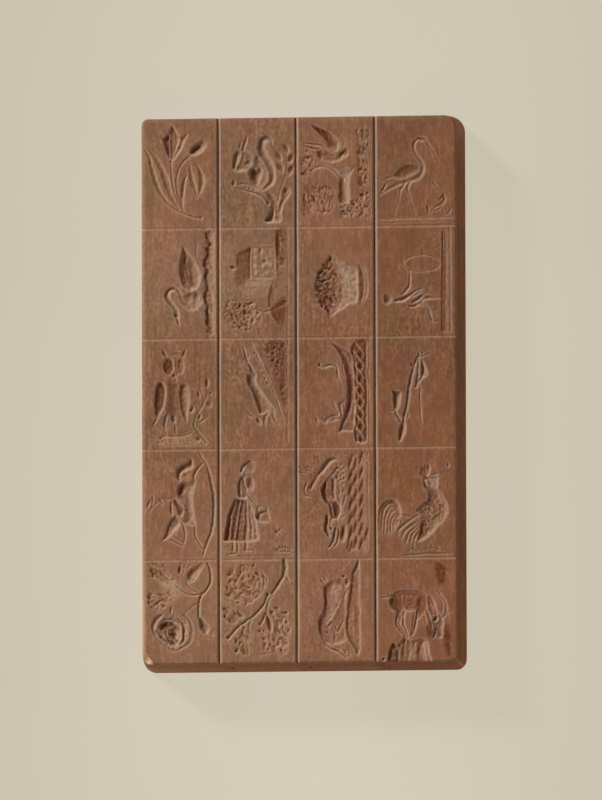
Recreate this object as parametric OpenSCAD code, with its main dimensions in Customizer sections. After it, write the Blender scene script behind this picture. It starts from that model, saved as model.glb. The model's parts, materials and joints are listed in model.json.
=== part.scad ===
// Springerle mould: a board of four staves joined edge to edge, carved with
// small pictures that are pressed into biscuit dough. The board lies on its
// back with the carved face up, and the top of the pictures is towards +Y.

/* [Staves] */
// Width of the left stave at the back, from the side of the board to its joint
stave_left_w = 37.2; // [30:0.1:50]
// Width of the second stave, joint to joint
stave_mid_left_w = 35.6; // [30:0.1:50]
// Width of the third stave, joint to joint
stave_mid_right_w = 36; // [30:0.1:50]
// Width of the right stave at the back, from its joint to the side of the board
stave_right_w = 39.4; // [30:0.1:50]
// Thickness of the staves
board_t = 24; // [18:0.5:32]

/* [Rows of pictures] */
// Height of the top row on the carved face
top_row_h = 50.2; // [40:0.1:70]
// Height of each row between the top row and the bottom row
mid_row_h = 50.6; // [40:0.1:70]
// Height of the bottom row on the carved face
bottom_row_h = 47.8; // [40:0.1:70]
// Width of the line scored between two rows
score_w = 0.8; // [0.4:0.1:1.6]
// Depth of that line
score_d = 0.35; // [0.2:0.05:0.8]

/* [Sides and corners] */
// How far each side leans in between the back and the carved face
side_lean = 2; // [0.5:0.1:4]
// Easing of the arris round the carved face
face_ease = 0.5; // [0.2:0.1:1]
// Easing of the arris round the back
back_ease = 0.8; // [0.2:0.1:1.5]
// Radius of the top left corner of the carved face
corner_top_left_r = 3; // [1.5:0.1:10]
// Radius of the top right corner of the carved face
corner_top_right_r = 5.8; // [1.5:0.1:10]
// Radius of the bottom left corner of the carved face
corner_bottom_left_r = 4.4; // [1.5:0.1:10]
// Radius of the bottom right corner of the carved face
corner_bottom_right_r = 2.8; // [1.5:0.1:10]
// Radius of the hollow that a chip has left at the bottom left corner
chip_r = 5; // [3:0.5:8]
// How deep that chip bites into the arris
chip_bite = 1.3; // [0.5:0.1:2]

/* [Carved pictures] */
// How much deeper or shallower than drawn the pictures are carved
carving_depth = 1; // [0.6:0.05:1.4]
// How much the round ends of a gouge cut stand out beyond the cut itself
end_swell = 1.03; // [1.02:0.01:1.1]

/* [Joints between staves] */
// Width on the carved face of the V where two staves meet
v_w = 2.2; // [1:0.1:4]
// Depth of the V
v_d = 1.3; // [0.5:0.1:3]
// Thickness of the tongue on the right edge of a stave
tongue_t = 6; // [4:0.5:8]
// Length of the tongue
tongue_l = 5; // [3:0.5:8]
// Clearance at each cheek of the tongue
cheek_gap = 0.15; // [0.05:0.05:0.3]
// Clearance ahead of the tip of the tongue
tip_gap = 0.4; // [0.2:0.1:1]

/* [Hidden] */
$fn = 64;

stave_widths = [stave_left_w, stave_mid_left_w, stave_mid_right_w, stave_right_w];
last_stave = len(stave_widths) - 1;
row_heights = [top_row_h, mid_row_h, mid_row_h, mid_row_h, bottom_row_h];
function total(list, count) = count <= 0 ? 0 : list[count - 1] + total(list, count - 1);

board_w = total(stave_widths, len(stave_widths));
face_h = total(row_heights, len(row_heights));
board_h = face_h + 2 * side_lean;

// Left edge of stave i at the back, where i = 4 is the right side of the board
function stave_x(i) = total(stave_widths, i) - board_w / 2;
// Line between row i - 1 and row i, counted from the top
function row_y(i) = face_h / 2 - total(row_heights, i);

tongue_z = (board_t - v_d) / 2;
// Room past a surface for a cut to go right through it
past = 1;

// The pictures are drawn in thirds of a millimetre, across and down from a corner
// outside their field: size of a field, and where its own corner lies
field_w = 106;
field_heights = [150, 151, 151, 151, 143];
field_left = [5.4, 4.4, 1.9, 1];
field_top = [5.5, 4.1, 4.1, 4.1, 4.1];

wood_light = "#946a50";
wood_mid = "#8c6349";
wood_dark = "#845c44";

// One side of a section through the board, from the back up to the carved face
function side_points(out) = [
    [out - back_ease, 0],
    [out, back_ease],
    [out - side_lean, board_t - face_ease],
    [out - side_lean - face_ease, board_t]
];

// Bar with the whole section of the board
module section_bar(width, length) {
    right = side_points(width / 2);
    left = [for (i = [len(right) - 1 : -1 : 0]) [-right[i].x, right[i].y]];
    rotate([90, 0, 0]) linear_extrude(length, center = true) polygon(concat(right, left));
}

// What is cut away to round one corner that points to +X and +Y
module corner_waste(face_r) {
    back_r = face_r + side_lean;
    difference() {
        translate([0, 0, -past]) cube([back_r + past, back_r + past, board_t + 2 * past]);
        rotate_extrude() polygon(concat([[0, 0]], side_points(back_r), [[0, board_t]]));
    }
}

// Puts a corner's waste in its place: 0 is top right, then round to the left
module place_corner(quarter, face_r) {
    inset = face_r + side_lean;
    side_x = (quarter == 0 || quarter == 3) ? 1 : -1;
    side_y = quarter < 2 ? 1 : -1;
    translate([side_x * (board_w / 2 - inset), side_y * (board_h / 2 - inset), 0])
        rotate(90 * quarter) corner_waste(face_r);
}

// The board as one blank, before it is divided into staves
module blank() {
    difference() {
        intersection() {
            section_bar(board_w, board_h + 2 * past);
            rotate(90) section_bar(board_h, board_w + 2 * past);
        }
        place_corner(0, corner_top_right_r);
        place_corner(1, corner_top_left_r);
        place_corner(2, corner_bottom_left_r);
        place_corner(3, corner_bottom_right_r);
    }
}

// Section of the stave between two joints, with the V halves at the face
module stave_section(i) {
    first = i == 0;
    last = i == last_stave;
    left = stave_x(i) - (first ? past : 0);
    right = stave_x(i + 1) + (last ? past : 0);
    difference() {
        union() {
            translate([left, -past]) square([right - left, board_t + 2 * past]);
            if (!last)
                translate([right - past, tongue_z - tongue_t / 2]) square([past + tongue_l, tongue_t]);
        }
        if (!first) {
            translate([left - past, tongue_z - tongue_t / 2 - cheek_gap])
                square([past + tongue_l + tip_gap, tongue_t + 2 * cheek_gap]);
            v_section(left);
        }
        if (!last) v_section(right);
    }
}

// Section of the V cut at a joint
module v_section(joint_x) {
    slope = v_w / 2 / v_d;
    translate([joint_x, board_t - v_d])
        polygon([[0, 0], [(v_d + past) * slope, v_d + past], [-(v_d + past) * slope, v_d + past]]);
}

// One line scored across the whole board below row i
module score_line(i) {
    slope = score_w / 2 / score_d;
    reach = score_d + past;
    translate([0, row_y(i), board_t - score_d])
        rotate([90, 0, 90])
            linear_extrude(board_w + 2 * past, center = true)
                polygon([[0, 0], [reach * slope, reach], [-reach * slope, reach]]);
}

// The chip out of the arris at the bottom left corner
module chip() {
    inset = corner_bottom_left_r + side_lean;
    reach = corner_bottom_left_r + (chip_r - chip_bite) * sin(45);
    translate([inset - board_w / 2, inset - board_h / 2, board_t + (chip_r - chip_bite) * sin(45)])
        rotate(-120) translate([reach, 0, 0]) sphere(chip_r);
}

// Radius of a gouge that cuts a given width at a given depth
function gouge_r(w, d) = (w * w / 4 + d * d) / (2 * d);
// Direction on the face from one drawn point to another
function heading(a, b) = atan2(a.y - b.y, b.x - a.x);

// Round hollow
module dish(at, w, d) {
    deep = d * carving_depth;
    r = gouge_r(w, deep);
    translate([at.x, -at.y, r - deep]) sphere(r);
}

// Gouge cut of even depth with round ends
module trough(a, b, w, d) {
    deep = d * carving_depth;
    r = gouge_r(w, deep);
    translate([a.x, -a.y, r - deep]) rotate(heading(a, b)) {
        rotate([0, 90, 0]) cylinder(r = r, h = norm(b - a));
        sphere(end_swell * r);
        translate([norm(b - a), 0, 0]) sphere(end_swell * r);
    }
}

// Gouge cut that starts deep, at a round end, and runs out to a point
module scoop(a, b, w, d) {
    deep = d * carving_depth;
    r = gouge_r(w, deep);
    rise = atan(deep / norm(b - a));
    translate([a.x, -a.y, r - deep]) rotate(heading(a, b)) {
        rotate([0, 90 - rise, 0]) cylinder(r = r, h = 1.2 * norm(b - a) / cos(rise));
        sphere(end_swell * r);
    }
}

// Flat sunk field
module panel(a, b, d) {
    deep = d * carving_depth;
    translate([a.x, -b.y, -deep]) cube([b.x - a.x, b.y - a.y, deep + past]);
}

// Gouge cut round a circle
module ring(at, radius, w, d) {
    deep = d * carving_depth;
    r = gouge_r(w, deep);
    translate([at.x, -at.y, r - deep]) rotate_extrude() translate([radius, 0]) circle(r);
}

module tulip() {
    dish([49, 40], 33, 4.6);
    trough([18, 62], [29, 104], 7, 3.4);
    trough([28, 64], [44, 108], 11, 4.2);
    trough([78, 49], [88, 40], 14, 5.4);
    trough([74, 80], [78, 102], 8, 3.4);
    trough([85, 78], [86, 98], 9, 4);
    scoop([47, 70], [60, 128], 3, 2.6);
}

module squirrel() {
    dish([38, 61], 25, 4.4);
    dish([58, 84], 30, 6);
    trough([64, 40], [65, 54], 12, 5.4);
    trough([69, 62], [76, 84], 10, 4.8);
    trough([76, 114], [76, 138], 13, 5);
    scoop([86, 124], [100, 98], 6, 3.4);
}

module bird_in_tree() {
    trough([40, 28], [56, 41], 15, 4.6);
    trough([41, 56], [62, 57], 12, 4.2);
    trough([67, 86], [66, 118], 11, 4.4);
    scoop([60, 88], [22, 74], 6, 3.6);
    dish([32, 118], 34, 2.2);
    trough([93, 32], [92, 90], 16, 2);
}

module stork() {
    trough([55, 44], [57, 60], 6, 3.8);
    trough([62, 66], [64, 82], 8, 4);
    trough([36, 84], [55, 77], 14, 4.4);
    scoop([60, 91], [8, 112], 7, 3.6);
    trough([38, 102], [29, 138], 3, 2.6);
    trough([46, 104], [54, 138], 3, 2.6);
    trough([94, 114], [87, 127], 7, 3.4);
}

module swan() {
    trough([65, 46], [70, 76], 22, 5.4);
    dish([74, 104], 27, 4);
    trough([44, 91], [51, 114], 8, 4);
    trough([46, 88], [62, 104], 8, 4);
    trough([98.5, 16], [98.5, 144], 11, 4.2);
}

module house() {
    panel([27, 40], [48.5, 78], 3.4);
    panel([50.5, 29.6], [81.5, 73.6], 2.2);
    panel([84, 7], [97.5, 150], 2.8);
    dish([38, 121], 46, 3.2);
    trough([64, 119], [80, 115], 4, 3);
}

module flower_basket() {
    trough([44, 66], [44, 106], 34, 5);
    trough([75, 76], [75, 98], 26, 2.8);
    trough([94, 66], [94, 100], 9, 4.6);
}

module child_with_hoop() {
    panel([93, 12], [104.4, 149], 2.4);
    dish([19.5, 103.5], 14, 3.4);
    trough([33, 105], [46, 101], 8, 4.2);
    trough([49, 66], [47, 89], 4, 2.8);
    trough([58, 105], [88, 102.5], 7, 3);
    trough([52, 113], [66, 108], 6, 3.2);
    scoop([77, 130], [66, 110], 5, 3);
}

module owl() {
    dish([41, 43], 19, 4.2);
    dish([57, 44], 15, 4.2);
    trough([30, 74], [26, 106], 14, 4.8);
    trough([63, 76], [65, 110], 12, 4.6);
    dish([48.4, 113], 12, 4);
    scoop([72, 134], [38, 146], 7, 2.8);
    trough([78, 129], [90, 145], 5, 3.2);
    scoop([76, 122], [95, 70], 4, 3);
}

module leaping_deer() {
    scoop([50, 54], [37, 17], 7, 4);
    trough([49, 64], [58, 90], 16, 5.2);
    trough([62, 98], [73, 104], 16, 4.8);
    scoop([70, 109], [66, 129], 6, 3.2);
    trough([51, 16], [92, 118], 3, 2.2);
    trough([85, 20], [86, 48], 18, 2.6);
}

module boat() {
    trough([61, 26], [71, 50], 7, 5.2);
    trough([74, 56], [75, 88], 9, 6);
    trough([74, 94], [64, 126], 7, 5.2);
    panel([85, 12], [98, 147], 2.4);
    trough([83, 24], [84, 134], 5, 4);
    trough([40, 46], [56, 45], 4, 3);
    scoop([58, 50], [62, 68], 4, 3);
    trough([45, 116], [58, 112], 5, 3.4);
    trough([62, 96], [63, 116], 5, 3.6);
}

module crossed_tools() {
    trough([57, 40], [45, 102], 7, 4.2);
    trough([43, 106], [41, 118], 6, 4.6);
    trough([39, 126], [37, 140], 9, 5);
    trough([67, 40], [68, 55], 8, 4.8);
    trough([61, 38], [59, 66], 4.4, 3.4);
    trough([63, 78], [65, 121], 4, 3.2);
    trough([31, 84], [30, 98], 11, 4.6);
    trough([30, 108], [36, 120], 5, 3.4);
}

module archer() {
    trough([57, 36], [70, 25], 9, 4.4);
    trough([63, 60], [66, 80], 18, 5);
    trough([69, 88], [70, 104], 14, 4.4);
    trough([53, 81], [58, 93], 9, 4.6);
    trough([48, 105], [40, 119], 10, 4.8);
    trough([85, 28], [77, 44], 4.4, 3.4);
    trough([77, 112], [78, 128], 4, 3.4);
    trough([87, 20], [98, 48], 5.5, 4.2);
    trough([100, 54], [102.5, 100], 6.2, 4.4);
    trough([101, 108], [90, 144], 5.5, 4.2);
}

module girl_with_can() {
    trough([38, 31], [46, 24], 6, 4.4);
    dish([47.6, 31], 15, 3);
    trough([34, 51], [36, 67], 11, 4.2);
    scoop([40, 54], [57, 84], 6, 4.4);
    trough([27, 82], [17, 126], 9, 4.6);
    trough([35, 82], [28, 127], 8, 4.6);
    trough([40, 84], [40, 127], 8, 4.4);
    trough([46, 88], [52, 125], 7, 4.2);
    trough([60, 99], [69, 97], 12, 3.2);
    trough([87, 147], [104, 148], 4, 2.2);
}

module browsing_animal() {
    trough([33, 40], [48, 24], 9, 4.6);
    trough([40, 58], [42, 76], 10, 5.4);
    trough([51, 52], [51, 72], 6, 5);
    trough([55, 86], [56, 97], 12, 4.4);
    trough([42.5, 102], [41.5, 120], 6.6, 5.4);
    trough([54, 119], [49, 136], 5.4, 4.2);
    trough([66, 116], [64, 131], 9, 4.6);
    scoop([30, 46], [21, 64], 6, 3);
    panel([73, 15], [98, 145], 1.6);
}

module rooster() {
    dish([83, 92], 38, 4.6);
    trough([72, 60], [82, 72], 13, 4.4);
    trough([66, 108], [66, 124], 12, 4.2);
    dish([71, 38], 15, 3.2);
    trough([20, 84], [14, 112], 17, 4);
    scoop([34, 92], [28, 118], 12, 3.6);
    trough([60, 100], [36, 122], 5, 3.4);
    trough([60, 110], [46, 134], 5, 3.4);
    trough([46, 151], [100, 150], 3.4, 2.2);
}

module rose() {
    dish([43, 106], 34, 4.8);
    ring([45, 107], 24, 6, 3.2);
    trough([97, 22], [96, 42], 4, 3.6);
    trough([92, 48], [83, 62], 4, 3.6);
    trough([82, 68], [81.5, 84], 4, 3.6);
    trough([86, 93], [90, 103], 10, 5);
    trough([72, 31], [81, 19], 12, 3.4);
    trough([24, 27], [38, 36], 9, 3);
    trough([22, 61], [42, 58], 18, 2.4);
}

module oak_branch() {
    trough([93, 12], [93, 26], 8, 5);
    trough([90, 33], [77, 52], 6, 4.2);
    trough([70, 58], [54, 81], 5, 3.6);
    trough([50, 84], [18, 112], 5, 3.6);
    dish([42, 40], 54, 3.4);
    dish([24, 82], 24, 2.6);
    trough([87, 86], [91, 122], 20, 3.2);
    dish([68, 120], 26, 2.4);
    trough([38, 112], [40, 128], 18, 3);
    trough([72, 89], [74, 100], 7, 4.8);
}

module running_animal() {
    trough([54, 50], [54, 70], 28, 4.6);
    trough([52, 88], [51, 106], 36, 4.8);
    trough([82, 20], [77, 50], 5, 4);
    trough([75, 58], [71.5, 88], 5, 4);
    trough([72, 96], [82, 131], 5, 4);
    panel([78, 40], [86.5, 124], 2.2);
    scoop([58, 132], [36, 116], 5, 3.8);
}

module goat() {
    trough([34, 63], [62, 63], 26, 4);
    trough([79, 65], [84, 80], 11, 3.2);
    trough([88, 89], [91, 106], 12, 3.4);
    trough([33, 80], [32, 94], 5, 3.6);
    trough([36, 100], [44, 115], 4, 3.4);
    trough([60, 80], [55, 108], 4.4, 3.6);
    scoop([74, 78], [80, 97], 4.4, 3.4);
    scoop([100, 76], [83, 49], 5, 3.8);
    trough([34, 134], [64, 132], 26, 2.8);
}

// The picture carved in one field
module picture(i, row) {
    if (row == 0) {
        if (i == 0) tulip();
        if (i == 1) squirrel();
        if (i == 2) bird_in_tree();
        if (i == 3) stork();
    }
    if (row == 1) {
        if (i == 0) swan();
        if (i == 1) house();
        if (i == 2) flower_basket();
        if (i == 3) child_with_hoop();
    }
    if (row == 2) {
        if (i == 0) owl();
        if (i == 1) leaping_deer();
        if (i == 2) boat();
        if (i == 3) crossed_tools();
    }
    if (row == 3) {
        if (i == 0) archer();
        if (i == 1) girl_with_can();
        if (i == 2) browsing_animal();
        if (i == 3) rooster();
    }
    if (row == 4) {
        if (i == 0) rose();
        if (i == 1) oak_branch();
        if (i == 2) running_animal();
        if (i == 3) goat();
    }
}

// All the pictures of one stave, each fitted to its field
module carving(i) {
    left = stave_x(i) + (i == 0 ? side_lean : 0);
    right = stave_x(i + 1) - (i == last_stave ? side_lean : 0);
    for (row = [0 : len(row_heights) - 1]) {
        step = min((right - left) / field_w, row_heights[row] / field_heights[row]);
        translate([left, row_y(row), board_t])
            scale(step) translate([-field_left[i], field_top[row], 0]) picture(i, row);
    }
}

module stave(i) {
    difference() {
        intersection() {
            blank();
            rotate([90, 0, 0]) linear_extrude(board_h + 2 * past, center = true) stave_section(i);
        }
        for (row = [1 : len(row_heights) - 1]) score_line(row);
        carving(i);
    }
}

module stave_left() {
    color(wood_mid) difference() {
        stave(0);
        chip();
    }
}

module stave_mid_left() {
    color(wood_light) stave(1);
}

module stave_mid_right() {
    color(wood_mid) stave(2);
}

module stave_right() {
    color(wood_dark) stave(3);
}

stave_left();
stave_mid_left();
stave_mid_right();
stave_right();
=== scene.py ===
"""Springerle mould: four staves of old pearwood, carved in hollow relief, lying on pale paper."""
import json

import bpy
import numpy as np
from mathutils import Matrix, Vector


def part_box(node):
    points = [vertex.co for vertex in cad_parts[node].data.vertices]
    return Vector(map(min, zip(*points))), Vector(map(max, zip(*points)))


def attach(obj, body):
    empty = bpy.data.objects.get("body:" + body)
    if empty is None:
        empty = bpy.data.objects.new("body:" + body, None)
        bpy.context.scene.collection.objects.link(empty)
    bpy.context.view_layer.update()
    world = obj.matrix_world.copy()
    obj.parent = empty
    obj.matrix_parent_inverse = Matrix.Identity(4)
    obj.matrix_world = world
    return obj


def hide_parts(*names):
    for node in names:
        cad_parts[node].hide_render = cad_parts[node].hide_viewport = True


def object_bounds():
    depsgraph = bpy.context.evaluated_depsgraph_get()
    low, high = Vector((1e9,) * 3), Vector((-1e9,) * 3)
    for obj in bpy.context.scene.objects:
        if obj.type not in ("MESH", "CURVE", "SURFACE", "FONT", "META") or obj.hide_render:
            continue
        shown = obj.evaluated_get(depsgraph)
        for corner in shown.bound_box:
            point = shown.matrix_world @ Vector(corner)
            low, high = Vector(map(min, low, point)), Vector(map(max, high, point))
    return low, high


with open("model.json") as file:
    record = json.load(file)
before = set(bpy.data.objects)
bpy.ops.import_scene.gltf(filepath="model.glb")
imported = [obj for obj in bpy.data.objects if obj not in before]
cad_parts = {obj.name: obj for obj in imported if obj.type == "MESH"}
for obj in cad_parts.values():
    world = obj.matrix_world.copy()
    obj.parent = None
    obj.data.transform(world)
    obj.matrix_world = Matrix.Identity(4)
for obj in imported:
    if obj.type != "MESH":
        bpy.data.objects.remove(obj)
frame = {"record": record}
cad_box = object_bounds()

# Sizes in millimetres; the meshes are scaled to metres at the end
MM = 0.001
TINY = 1e-6
STAVES = ("stave_left", "stave_mid_left", "stave_mid_right", "stave_right")
SLOTS = ("left_wood", "mid_left_wood", "mid_right_wood", "right_wood")
LAST = len(STAVES) - 1
LOW, HIGH = (np.array(corner) / MM for corner in cad_box)
THICK = HIGH[2]
JOINTS = [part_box(name)[0].x / MM for name in STAVES[1:]]

# Sides and corners
SIDE_LEAN = 2.0
FACE_EASE = 0.5
BACK_EASE = 0.8
CORNER_R = {("left", "top"): 3.0, ("right", "top"): 5.8, ("left", "bottom"): 4.4, ("right", "bottom"): 2.8}
FACE_X = (LOW[0] + SIDE_LEAN, HIGH[0] - SIDE_LEAN)
FACE_Y = (LOW[1] + SIDE_LEAN, HIGH[1] - SIDE_LEAN)

# Joints between staves
V_HALF = 0.95
V_DEEP = 1.3
TONGUE_L = 5.0
GROOVE_L = 5.4
TONGUE_HALF = 3.0
GROOVE_HALF = 3.15
TONGUE_MID = (THICK - V_DEEP) / 2
TONGUE_Z = (TONGUE_MID + TONGUE_HALF, TONGUE_MID - TONGUE_HALF)
GROOVE_Z = (TONGUE_MID + GROOVE_HALF, TONGUE_MID - GROOVE_HALF)

# Rows of pictures, and the scored lines between them, steep above and gentle below
ROW_H = (50.2, 50.6, 50.6, 50.6, 47.8)
ROW_TOP = [FACE_Y[1] - sum(ROW_H[:row]) for row in range(len(ROW_H) + 1)]
SCORE_STEEP = 0.25
SCORE_GENTLE = 0.75
SCORE_DEEP = 0.19

# The pictures are drawn in units of a third of a millimetre. For the top and the bottom row of each
# stave: where its left edge lies in them, and how far they are moved down. Then where each row begins
UNIT = 0.33445
LEFT_UNITS = ((5.0, 4.2), (2.9, 4.6), (1.9, 1.4), (0.3, 3.4))
DROP_UNITS = ((1.6, -3.2), (2.2, -1.8), (0.7, -1.4), (1.4, 0.6))
TOP_UNITS = (5.5, 4.1, 4.1, 4.1, 4.1)

# Distance between the points of a face's grid, and the share of the drawn depth that is carved
PITCH = 0.34
RELIEF = 0.9

# Widths of cuts and of the shoulders of hollows, and depths of cuts, as shares of the drawn ones
LINE_WIDE = 0.85
LINE_DEEP = 0.82

# Steps of a curve between two drawn points, and sides of an oval
CURVE_STEPS = 6
OVAL_SIDES = 16

# Random patches repeat after this many, and are shifted by this many to keep their numbers above 0
PATCHES = 64
PATCH_SHIFT = 200.5

# Leafy floors: how their ridges curl, the crumbs on them, the pits between, the ragged rim, and the range
# of the painted shade in the pits and the painted highlight on the ridges, a mottled stain where nothing is
# cut
CURL = 2
CURL_SIZE = (7, 7)
CRUMB = 0.35
CRUMB_SIZE = 0.5
PIT_SLOPE = 1.9
PIT_FROM = 0.6
RAGGED = 2.5
RAGGED_SIZE = (5, 6)
PIT_SHADE_AND_STAIN = (-0.5, 1)

# Sprigs: how their lengths and depths vary, and the width and share of the depth at their tips
SPRIG_VARY = (0.6, 1.2)
SPRIG_TIP_WIDE = 0.6
SPRIG_TIP_DEEP = 0.4


# Sections of cuts: the share of the depth at a share of the way in from the edge
def as_round(q):
    return q * (2 - q)


def as_soft(q):
    return q * q * (3 - 2 * q)


def as_steep(q):
    return 1 - (1 - q) ** 4


def clamp(values):
    """Values kept between 0 and 1."""
    return np.clip(values, 0, 1)


def smooth_path(points, closed=False, steps=CURVE_STEPS):
    """Points along a Catmull-Rom curve through the given ones."""
    p = np.array(points, float)
    if closed:
        p = np.vstack([p[-1], p, p[0], p[1]])
    else:
        p = np.vstack([2 * p[0] - p[1], p, 2 * p[-1] - p[-2]])
    t = (np.arange(steps) / steps)[:, None]
    runs = [
        b + 0.5 * t * (c - a + t * (2 * a - 5 * b + 4 * c - d + t * (3 * b - a - 3 * c + d)))
        for a, b, c, d in zip(p, p[1:], p[2:], p[3:])
    ]
    return np.vstack(runs + [p[-2:-1]])


def patches(x, y, size, seed):
    """Smooth random values between -1 and 1 that change over about the given distance."""
    values = np.random.default_rng(seed).uniform(-1, 1, (PATCHES, PATCHES))
    across, along = x / size[0] + PATCH_SHIFT, y / size[1] + PATCH_SHIFT
    left, low = np.floor(across).astype(int), np.floor(along).astype(int)
    s, t = (as_soft(part) for part in (across - left, along - low))

    def row(up):
        start, end = (values[(left + right) % PATCHES, (low + up) % PATCHES] for right in (0, 1))
        return start * (1 - s) + end * s

    return row(0) * (1 - t) + row(1) * t


def layers(x, y, kinds):
    """The sum of several layers of patches; each has an amount, a size and a seed."""
    return sum(amount * patches(x, y, size, seed) for amount, size, seed in kinds)


class Relief:
    """Depth of the cuts below the face over one picture; u runs right and v down."""

    def __init__(self, u, v):
        self.u, self.v = u, v
        self.depth = np.zeros((len(v), len(u)))
        self.tone = np.zeros_like(self.depth)

    def window(self, low, high):
        """Slices of the grid between two corners, and the coordinates inside them."""
        cols = slice(*np.searchsorted(self.u, (low[0], high[0])))
        rows = slice(*np.searchsorted(self.v, (low[1], high[1])))
        return (rows, cols), self.u[None, cols], self.v[rows, None]

    def lay(self, place, cut, add):
        """Deepens the grid to a cut, or adds the cut to what is there."""
        old = self.depth[place]
        self.depth[place] = np.maximum(old + cut, 0) if add else np.maximum(old, cut)

    def near(self, path, u, v):
        """How far each point is from a path, the share of the path before it, and if it is on the left."""
        spans = np.hypot(*np.diff(path, axis=0).T)
        start = np.concatenate([[0], np.cumsum(spans)])
        best = np.full(np.broadcast(u, v).shape, np.inf)
        share = np.zeros(best.shape)
        left = np.zeros(best.shape, bool)
        for (ax, ay), (bx, by), span, before in zip(path, path[1:], spans, start):
            if span == 0:
                continue
            t = clamp(((u - ax) * (bx - ax) + (v - ay) * (by - ay)) / span**2)
            over, down = u - ax - t * (bx - ax), v - ay - t * (by - ay)
            gap = np.hypot(over, down)
            closer = gap < best
            left = np.where(closer, over < 0, left)
            best = np.where(closer, gap, best)
            share = np.where(closer, (before + t * span) / start[-1], share)
        return best, share, left

    def cut(self, points, width, depth, add=False, lean=0, tone=0):
        """A gouge cut along a curve; width and depth may be lists that run along it. A tone below 0 paints
        shade along it, one above 0 a highlight.
        """
        path = smooth_path(points)
        width, depth = LINE_WIDE * np.atleast_1d(width), LINE_DEEP * np.atleast_1d(depth)
        reach = width.max() / 2
        place, u, v = self.window(path.min(axis=0) - reach, path.max(axis=0) + reach)
        gap, share, left = self.near(path, u, v)
        half = np.interp(share, np.linspace(0, 1, len(width)), width) / 2
        deep = np.interp(share, np.linspace(0, 1, len(depth)), depth)
        off = np.where(left, 1, -1) * gap / np.maximum(half, TINY) - lean
        section = as_round(clamp(1 - np.maximum(off / (1 - lean), -off / (1 + lean))))
        self.lay(place, deep * section, add)
        self.tone[place] += tone * section

    def rib(self, points, width, height):
        """A ridge left standing in a hollow along a curve."""
        self.cut(points, width, -np.atleast_1d(height), add=True)

    def streak(self, points, width, tone):
        """A line of painted shade along a curve, or of painted highlight if the tone is above 0, without a
        cut.
        """
        self.cut(points, width, 0, add=True, tone=tone)

    def bowl(self, middle, size, depth, turn=0, deep=(0, 0), form=as_round, add=False):
        """An oval hollow; deep moves its lowest point off the middle, in shares of the half size."""
        reach = np.hypot(*size)
        middle = np.array(middle, float)
        place, u, v = self.window(middle - reach, middle + reach)
        cos, sin = np.cos(np.radians(turn)), np.sin(np.radians(turn))
        du, dv = u - middle[0], v - middle[1]
        x = (du * cos + dv * sin) / size[0] - deep[0]
        y = (dv * cos - du * sin) / size[1] - deep[1]
        lean = x * -deep[0] + y * -deep[1]
        flat = 1 - deep[0] ** 2 - deep[1] ** 2
        ring = (np.sqrt(lean**2 + flat * (x**2 + y**2)) - lean) / flat
        self.lay(place, depth * form(clamp(1 - ring)), add)

    def pits(self, places, size, depth, add=False):
        """Small oval marks of one size."""
        for place in places:
            self.bowl(place, size, depth, add=add)

    def shape(self, points, smooth=True):
        """Where a drawn outline lies on the grid, and how far inside it each point is, or 0 outside."""
        path = smooth_path(points, closed=True, steps=CURVE_STEPS if smooth else 1)
        place, u, v = self.window(path.min(axis=0), path.max(axis=0))
        gap, _, _ = self.near(path, u, v)
        inside = np.zeros(gap.shape, bool)
        for (ax, ay), (bx, by) in zip(path, path[1:]):
            if ay != by:
                crosses = (ay > v) != (by > v)
                inside ^= crosses & (u < ax + (v - ay) * (bx - ax) / (by - ay))
        return place, u, v, gap * inside

    def fill(self, points, depth, shoulder, tilt=(0, 0), form=as_round, add=False, smooth=True):
        """A hollow with a drawn outline; tilt deepens its floor to the right and downwards."""
        place, u, v, gap = self.shape(points, smooth)
        mid = (np.min(points, axis=0) + np.max(points, axis=0)) / 2
        floor = np.maximum(depth + tilt[0] * (u - mid[0]) + tilt[1] * (v - mid[1]), 0)
        self.lay(place, floor * form(clamp(gap / (LINE_WIDE * shoulder))), add)

    def tint(self, points, amount, soft=3.0):
        """A drawn area of painted shade, or of painted highlight if the amount is above 0; some of the dark
        ones are stains.
        """
        place, _, _, gap = self.shape(points)
        self.tone[place] += amount * as_soft(clamp(gap / soft))

    def leafy(self, points, depth, rough, seed, size=3.2, shoulder=5.0, add=False, stain_and_pit_shade=0.7, turn=0.5,
              stretch=1.2):
        """A hollow with a drawn outline and a floor of small pits between curling ridges, with painted
        shade in the pits and painted highlight on the ridges.
        """
        place, u, v, gap = self.shape(points)
        u, v = np.broadcast_arrays(u, v)
        across = u + turn * v + CURL * patches(u, v, CURL_SIZE, seed + 3)
        along = v - turn * u + CURL * patches(u, v, CURL_SIZE, seed + 4)
        ridge = np.array((size, size * stretch))
        curl = np.abs(patches(across, along, ridge, seed))
        crumb = patches(across, along, ridge * CRUMB_SIZE, seed + 1)
        pits = PIT_SLOPE * curl - PIT_FROM + CRUMB * crumb
        ragged = (gap + RAGGED * patches(u, v, RAGGED_SIZE, seed + 2)) / shoulder
        share = as_soft(clamp(ragged)) * (gap > 0)
        self.lay(place, (depth + rough * pits) * share, add)
        self.tone[place] -= stain_and_pit_shade * share * np.clip(pits, *PIT_SHADE_AND_STAIN)


def oval(middle, size):
    """Points round an oval, with the first one again at the end."""
    angles = np.linspace(0, 2 * np.pi, OVAL_SIDES + 1)
    return np.column_stack([middle[0] + size[0] * np.cos(angles), middle[1] + size[1] * np.sin(angles)])


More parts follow.
